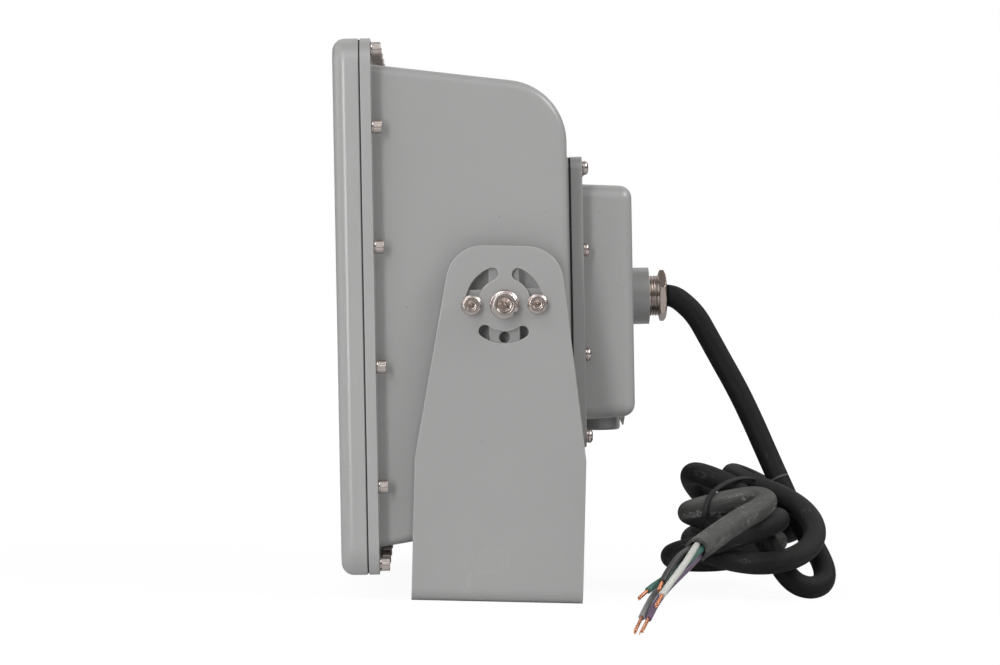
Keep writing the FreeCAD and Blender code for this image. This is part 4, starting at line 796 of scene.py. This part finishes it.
class LIGHT_OT_stage(bpy.types.Operator):
    """Sets up the floor, the soft lamps, the pale surroundings and the camera"""
    bl_idname = "light.stage"
    bl_label = "Stage"

    # Each lamp's place, size, the point that it faces and its height if it isn't round.
    LAMPS = {
        "key": ((1.9, -0.9, 1.9), 1.5, (0, 0, 0.2), None),
        "fill": ((0.6, -2.4, 0.9), 1.6, (0, 0, 0.2), None),
        "rim": ((0.7, 1.7, 1.7), 1.1, (0, 0.1, 0.15), None),
        "strip": ((2.47, -0.8, 0.45), 0.3, (0, 0, 0.22), 1.7),
    }
    # The camera's roll as a cosine and a sine, and how far it looks aside and down.
    ROLL = (0.9997, 0.0236)
    ASIDE, DOWN = 0.018253, 0.016297

    def execute(self, context):
        stage = context.scene.light_stage
        half = stage.floor_size / 2
        floor = new_mesh("floor", [(-half, -half, 0), (half, -half, 0), (half, half, 0), (-half, half, 0)],
                         [(0, 1, 2, 3)], self.floor_look())
        self.surroundings(context, stage)
        for name, settings in self.LAMPS.items():
            self.lamp(name, getattr(stage, name), *settings)
        self.camera(context, stage)
        context.scene.view_settings.view_transform = "Standard"
        return {"FINISHED"}

    def floor_look(self):
        """White to the camera, with the shadow left on it."""
        made, tree, shader, where = material("floor_look")
        fine = tree.noise(where, 3, 3)
        feed(tree, shader, Base_Color=tree.mix(fine, (0.86, 0.86, 0.86), (0.89, 0.89, 0.89)), Roughness=0.9)
        glow = tree.add("ShaderNodeEmission", None, {"Color": WHITE, "Strength": 1.05})
        seen = tree.add("ShaderNodeLightPath", out="Is Camera Ray")
        away = tree.add("ShaderNodeVectorMath", {"operation": "LENGTH"}, {0: where}, out="Value")
        far = tree.between(0.35, 1.1, away)
        mixed = tree.add("ShaderNodeMixShader", None, {0: seen * (0.9 + far * 0.1), 2: glow})
        tree.tree.links.new(shader.outputs[0], mixed.socket.node.inputs[1])
        tree.tree.links.new(mixed.socket, made.node_tree.nodes["Material Output"].inputs["Surface"])
        return made

    def surroundings(self, context, stage):
        """An even room, white where it is seen, mirrored or looked through."""
        world = bpy.data.worlds.new("studio")
        context.scene.world = world
        world.use_nodes = True
        tree = Tree(world.node_tree)
        nodes = world.node_tree.nodes
        kinds = ["Is Camera Ray", "Is Glossy Ray", "Is Transmission Ray"]
        camera, glossy, through = (tree.add("ShaderNodeLightPath", out=kind) for kind in kinds)
        where = tree.add("ShaderNodeTexCoord", out="Generated")
        level = tree.add("ShaderNodeSeparateXYZ", None, {0: where}, out="Z")
        stops = [(0.0, (0.2, 0.18, 0.17, 1)), (0.3, (0.27, 0.25, 0.24, 1)), (0.52, WHITE), (0.88, WHITE),
                 (0.97, (0.3, 0.28, 0.27, 1))]
        sky = tree.add("ShaderNodeValToRGB", {"stops": stops}, {0: level})
        room, mirrored, white = (
            tree.add("ShaderNodeBackground", None, {"Color": colour, "Strength": strength})
            for colour, strength in ((WHITE, stage.room), (sky, 1.0), (WHITE, 1.0)))
        soft = tree.add("ShaderNodeMixShader", None, {0: glossy, 1: room, 2: mirrored})
        shown = tree.add("ShaderNodeMixShader", None, {0: (camera + through).held(), 1: soft, 2: white})
        world.node_tree.links.new(shown.socket, nodes["World Output"].inputs["Surface"])

    def lamp(self, name, power, place, size, target, tall):
        light = bpy.data.lights.new(name, "AREA")
        light.shape = "RECTANGLE" if tall else "DISK"
        light.size = size
        light.size_y = tall or size
        light.energy = power
        holder = add_object(name, light)
        holder.location = place
        aim = Vector(target) - Vector(place)
        holder.rotation_euler = aim.to_track_quat("-Z", "Y").to_euler()

    def camera(self, context, stage):
        """Looks at the light's right-hand side from nearly level, as a long lens sees it."""
        right = Vector((0, *self.ROLL))
        up = Vector((0, -self.ROLL[1], self.ROLL[0]))
        ahead = (right * self.ASIDE - up * self.DOWN - ACROSS).normalized()
        right = (right - ahead * right.dot(ahead)).normalized()
        up = right.cross(ahead)
        data = bpy.data.cameras.new("camera")
        data.lens = stage.lens
        data.sensor_width = 36
        data.clip_end = 100
        holder = add_object("camera", data)
        turn = Matrix((right, up, -ahead)).transposed().to_4x4()
        holder.matrix_world = Matrix.Translation(stage.eye) @ turn
        context.scene.camera = holder


class LIGHT_OT_finishes(bpy.types.Operator):
    """Gives the castings, the optics and the wiring their materials"""
    bl_idname = "light.finishes"
    bl_label = "Finishes"

    def execute(self, context):
        dress(finishes())
        return {"FINISHED"}


def look(slot):
    return bpy.data.materials[slot + "_look"]


class LIGHT_OT_screws(bpy.types.Operator):
    """Puts knurled socket screws and button screws in the places of the plain ones"""
    bl_idname = "light.screws"
    bl_label = "Screws"

    # node: outward direction, head height, head radius, rim, socket radius, shank radius, knurl
    KINDS = {
        "pivot_bolts": (None, 12, 9, 1.0, 5.77, 6, 0.022),
        "locking_bolts": (None, 8, 6.5, 0.8, 3.46, 4, 0.022),
        "door_screws": (HEAD_BACK, 6, 5, 0.7, 2.89, 3, 0.022),
        "driver_box_screws": (HEAD_BACK, 3.3, 5.25, 2.4, 2.31, 3, 0.0),
    }

    # The recess's share of the head's height.
    RECESS = 0.55

    def execute(self, context):
        group = screw_tree()
        for node, (outward, height, radius, rim, socket, shank, knurl) in self.KINDS.items():
            places, outwards, lengths = [], [], []
            for _, way, place, low, high in standing(node, outward):
                places.append(place + way * (high - height * MM))
                outwards.append(way)
                lengths.append(high - low - height * MM)
            values = {"Head Radius": radius * MM, "Head Height": height * MM, "Rim": rim * MM,
                      "Socket Radius": socket * MM, "Socket Depth": height * MM * self.RECESS,
                      "Shank Radius": shank * MM, "Shank Length": max(lengths), "Knurl": knurl}
            piece = grown(node + "_detailed", group, places, outwards, values, look("stainless"))
            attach(piece, body_of(node))
            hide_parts(node)
        return {"FINISHED"}


class LIGHT_OT_washers(bpy.types.Operator):
    """Puts split spring washers in the places of the plain rings"""
    bl_idname = "light.washers"
    bl_label = "Spring Washers"

    NODES = ("pivot_spring_washers", "locking_spring_washers", "door_spring_washers",
             "driver_box_spring_washers")

    # The bar's and the spring's shares of the ring's thickness.
    BAR, SPRING = 0.86, 0.14

    def execute(self, context):
        group = washer_tree()
        for node in self.NODES:
            outward = HEAD_BACK if "door" in node or "box" in node else None
            places, outwards = [], []
            for solid, way, place, low, high in standing(node, outward):
                places.append(place + way * low)
                outwards.append(way)
                away = np.linalg.norm(solid - np.array(place) - np.outer(solid @ np.array(way), way), axis=1)
                outer, inner = float(away.max()), float(away.min())
                thick = high - low
            values = {"Middle Radius": (outer + inner) / 2, "Bar Width": outer - inner,
                      "Bar Thickness": thick * self.BAR, "Spring": thick * self.SPRING}
            piece = grown(node + "_split", group, places, outwards, values, look("stainless"))
            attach(piece, body_of(node))
            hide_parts(node)
        return {"FINISHED"}


class LIGHT_OT_gland(bpy.types.Operator):
    """Cuts the thread that shows before the gland's nut, and chamfers the nut"""
    bl_idname = "light.gland"
    bl_label = "Gland"

    # The nut's turned outline: each height and the widest radius there, in millimetres.
    TURNED = [(0, 17), (0.5, 18.9), (1, 20.4), (3.9, 20.4), (4.3, 19.5), (4.7, 18.7), (5.1, 17.9), (5.5, 17),
              (5.9, 15), (6.2, 12.6)]
    # In millimetres: the body's length up to its bare thread, the nut's lip and the depth of its mouth.
    BARE_FROM, LIP, MOUTH_FROM = 10.4, 1.6, 3.4

    def execute(self, context):
        pitch = context.scene.light_sizes.thread_pitch
        body, = islands("gland_body")
        place, low, high = middle(body, HEAD_BACK)
        _, boss, _ = middle(islands("gland_nut")[0], HEAD_BACK)
        width = float((body @ np.array(ACROSS)).max())
        start = low + self.BARE_FROM * MM
        values = {"Radius": width + pitch * 0.02, "Pitch": pitch, "Length": boss - start}
        piece = grown("gland_thread", thread_tree(), [place + HEAD_BACK * start], [HEAD_BACK], values,
                      look("nickel"))
        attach(piece, "head")
        self.nut()
        return {"FINISHED"}

    def nut(self):
        """A hexagon turned down at its corners, bored for the thread and the cord."""
        solid, = islands("gland_nut")
        way = np.array(HEAD_BACK)
        place, low, high = middle(solid, HEAD_BACK)
        level = solid @ way
        away = solid - np.array(place) - np.outer(level, way)
        far = np.linalg.norm(away, axis=1)
        rear = level > high - 0.1 * MM
        widest = int(np.argmax(np.where(rear, far, 0)))
        corner = Vector(away[widest]).normalized()
        across = HEAD_BACK.cross(corner)
        flats = float(far[widest]) * math.cos(math.pi / 6)
        mouth, thread = float(far[rear].min()), float(far[level < low + 0.1 * MM].min())
        rows = [(z * MM, limit * MM, True) for z, limit in self.TURNED]
        end, step = high - low, self.MOUTH_FROM * MM
        rows += [(z, radius, False) for z, radius in ((end, mouth + self.LIP * MM), (end, mouth),
                                                      (step, mouth), (step, thread), (0, thread))]
        points, faces, sides = [], [], 96
        for z, radius, hexagonal in rows:
            for k in range(sides):
                turn = math.tau * k / sides
                flat = flats / math.cos(turn % (math.pi / 3) - math.pi / 6)
                reach = min(radius, flat) if hexagonal else radius
                points.append(place + HEAD_BACK * (low + z) + spoke(corner, across, turn) * reach)
        for i in range(len(rows)):
            faces += quads(i * sides, (i + 1) % len(rows) * sides, sides)
        piece = new_mesh("gland_nut_chamfered", points, faces, look("nickel"), range(len(faces)))
        outward_faces(piece)
        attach(piece, "head")
        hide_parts("gland_nut")


def lay(piece, *nodes):
    """A piece of the cord: it lies still where it is, in the place of the hidden nodes."""
    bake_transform(piece)
    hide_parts(*nodes)


class LIGHT_OT_conductors(bpy.types.Operator):
    """Makes the five insulated conductors and their twisted bare strands"""
    bl_idname = "light.conductors"
    bl_label = "Conductors"

    def execute(self, context):
        sizes = context.scene.light_sizes
        bare = []
        for colour, offsets in CORES.items():
            points = [tuple(a + b for a, b in zip(TAIL[-1], offset)) for offset in offsets]
            inside = tuple(a - b for a, b in zip(points[0], INWARD))
            line = smooth_line([inside, *points], steps=10)
            left = (Vector(points[-1]) - Vector(points[-2])).length * MM * 0.9
            cut = len(line) - 1
            while length_of(line[cut:]) < left:
                cut -= 1
            core = tube("core_" + colour, line[:cut + 1], sizes.core_width / 2, 16, look("core_" + colour))
            lay(core, "conductor_" + colour)
            bare.append(line[cut - 1:])
        copper = self.strands(bare, sizes)
        lay(copper, "copper_ends")
        return {"FINISHED"}

    def strands(self, lines, sizes):
        """Seven strands for each conductor, wound round its line and spread a little at the tip."""
        parts = []
        for line in lines:
            rows = frames(line)
            total = length_of(line)
            for strand in range(7):
                walked, path = 0.0, []
                for i, (at, row) in enumerate(zip(line, rows)):
                    walked += (at - line[i - 1]).length if i else 0.0
                    turn = math.tau * (strand / 6 + walked / sizes.strand_pitch)
                    away = 0.0 if strand == 6 else sizes.strand_width * (1 + 0.15 * (walked / total) ** 2)
                    path.append(at + spoke(row[1], row[2], turn) * away)
                end = int(len(path) * (1 - 0.02 * (strand * 5 % 7)))
                parts.append(tube("strand", path[:max(end, 4)], sizes.strand_width / 2, 8, look("copper")))
        return joined("copper_strands", parts)


def joined(name, parts):
    """One object from several, made with their points and faces."""
    points, faces = [], []
    for part in parts:
        first = len(points)
        points += [v.co.copy() for v in part.data.vertices]
        faces += [tuple(first + v for v in face.vertices) for face in part.data.polygons]
        finish = part.data.materials[0]
        bpy.data.objects.remove(part)
    return new_mesh(name, points, faces, finish)


class LIGHT_OT_tie(bpy.types.Operator):
    """Makes the cable tie round the upper turns"""
    bl_idname = "light.tie"
    bl_label = "Cable Tie"

    def execute(self, context):
        sizes = context.scene.light_sizes
        line = smooth_line(TIE, cyclic=True, steps=8)
        count = len(line)
        half, thick = sizes.tie_width / 2, sizes.tie_thickness / 2
        rim = thick * 0.5
        section = [(-half + rim, -thick), (half - rim, -thick), (half, 0), (half - rim, thick),
                   (0, thick * 1.15), (-half + rim, thick), (-half, 0)]
        points, faces = [], []
        for i, at in enumerate(line):
            ahead = (line[(i + 1) % count] - line[i - 1]).normalized()
            outward = at - BUNDLE
            outward = (outward - ahead * outward.dot(ahead)).normalized()
            side = ahead.cross(outward)
            points += [at + side * a + outward * b for a, b in section]
        each = len(section)
        for i in range(count):
            faces += quads(i * each, (i + 1) % count * each, each)
        piece = new_mesh("tie_band", points, faces, look("tie_black"), range(len(faces)))
        outward_faces(piece)
        lay(piece, "cable_tie")
        return {"FINISHED"}


def outward_faces(piece):
    """Turns a closed mesh's faces outward."""
    shape = bmesh.new()
    shape.from_mesh(piece.data)
    bmesh.ops.recalc_face_normals(shape, faces=shape.faces)
    shape.to_mesh(piece.data)
    shape.free()


class LIGHT_OT_cord(bpy.types.Operator):
    """Makes the rubber cord: its drop, its loose tied turns and the tail with its cut end"""
    bl_idname = "light.cord"
    bl_label = "Cord"

    def execute(self, context):
        sizes = context.scene.light_sizes
        width = sizes.cord_width
        line = smooth_line(cord_points(width))
        piece = tube("rubber_cord", line, width / 2, 28, look("cord_rubber"), sizes.jacket_bore)
        lay(piece, "power_cord", "cord_coil", "cord_tail")
        round(length_of(line), 3)
        [tuple(p) for p in line]
        return {"FINISHED"}


STEPS = ("stage", "finishes", "screws", "washers", "gland", "conductors", "tie", "cord")


class LIGHT_PT_panel(bpy.types.Panel):
    """Lists the steps and their sizes"""
    bl_idname = "LIGHT_PT_panel"
    bl_label = "Floodlight"
    bl_space_type = "VIEW_3D"
    bl_region_type = "UI"
    bl_category = "Floodlight"

    def draw(self, context):
        for group in (context.scene.light_colours, context.scene.light_sizes, context.scene.light_stage):
            for name in group.__annotations__:
                self.layout.prop(group, name)
        for step in STEPS:
            self.layout.operator("light." + step)


CLASSES = (LightColours, LightSizes, StageSettings, LIGHT_OT_stage, LIGHT_OT_finishes, LIGHT_OT_screws,
           LIGHT_OT_washers, LIGHT_OT_gland, LIGHT_OT_conductors, LIGHT_OT_tie, LIGHT_OT_cord,
           LIGHT_PT_panel)


def register():
    for kind in CLASSES:
        bpy.utils.register_class(kind)
    bpy.types.Scene.light_colours = PointerProperty(type=LightColours)
    bpy.types.Scene.light_sizes = PointerProperty(type=LightSizes)
    bpy.types.Scene.light_stage = PointerProperty(type=StageSettings)


def unregister():
    del bpy.types.Scene.light_stage
    del bpy.types.Scene.light_sizes
    del bpy.types.Scene.light_colours
    for kind in reversed(CLASSES):
        bpy.utils.unregister_class(kind)


def main():
    register()
    for step in STEPS:
        getattr(bpy.ops.light, step)()


if __name__ == "__main__":
    main()
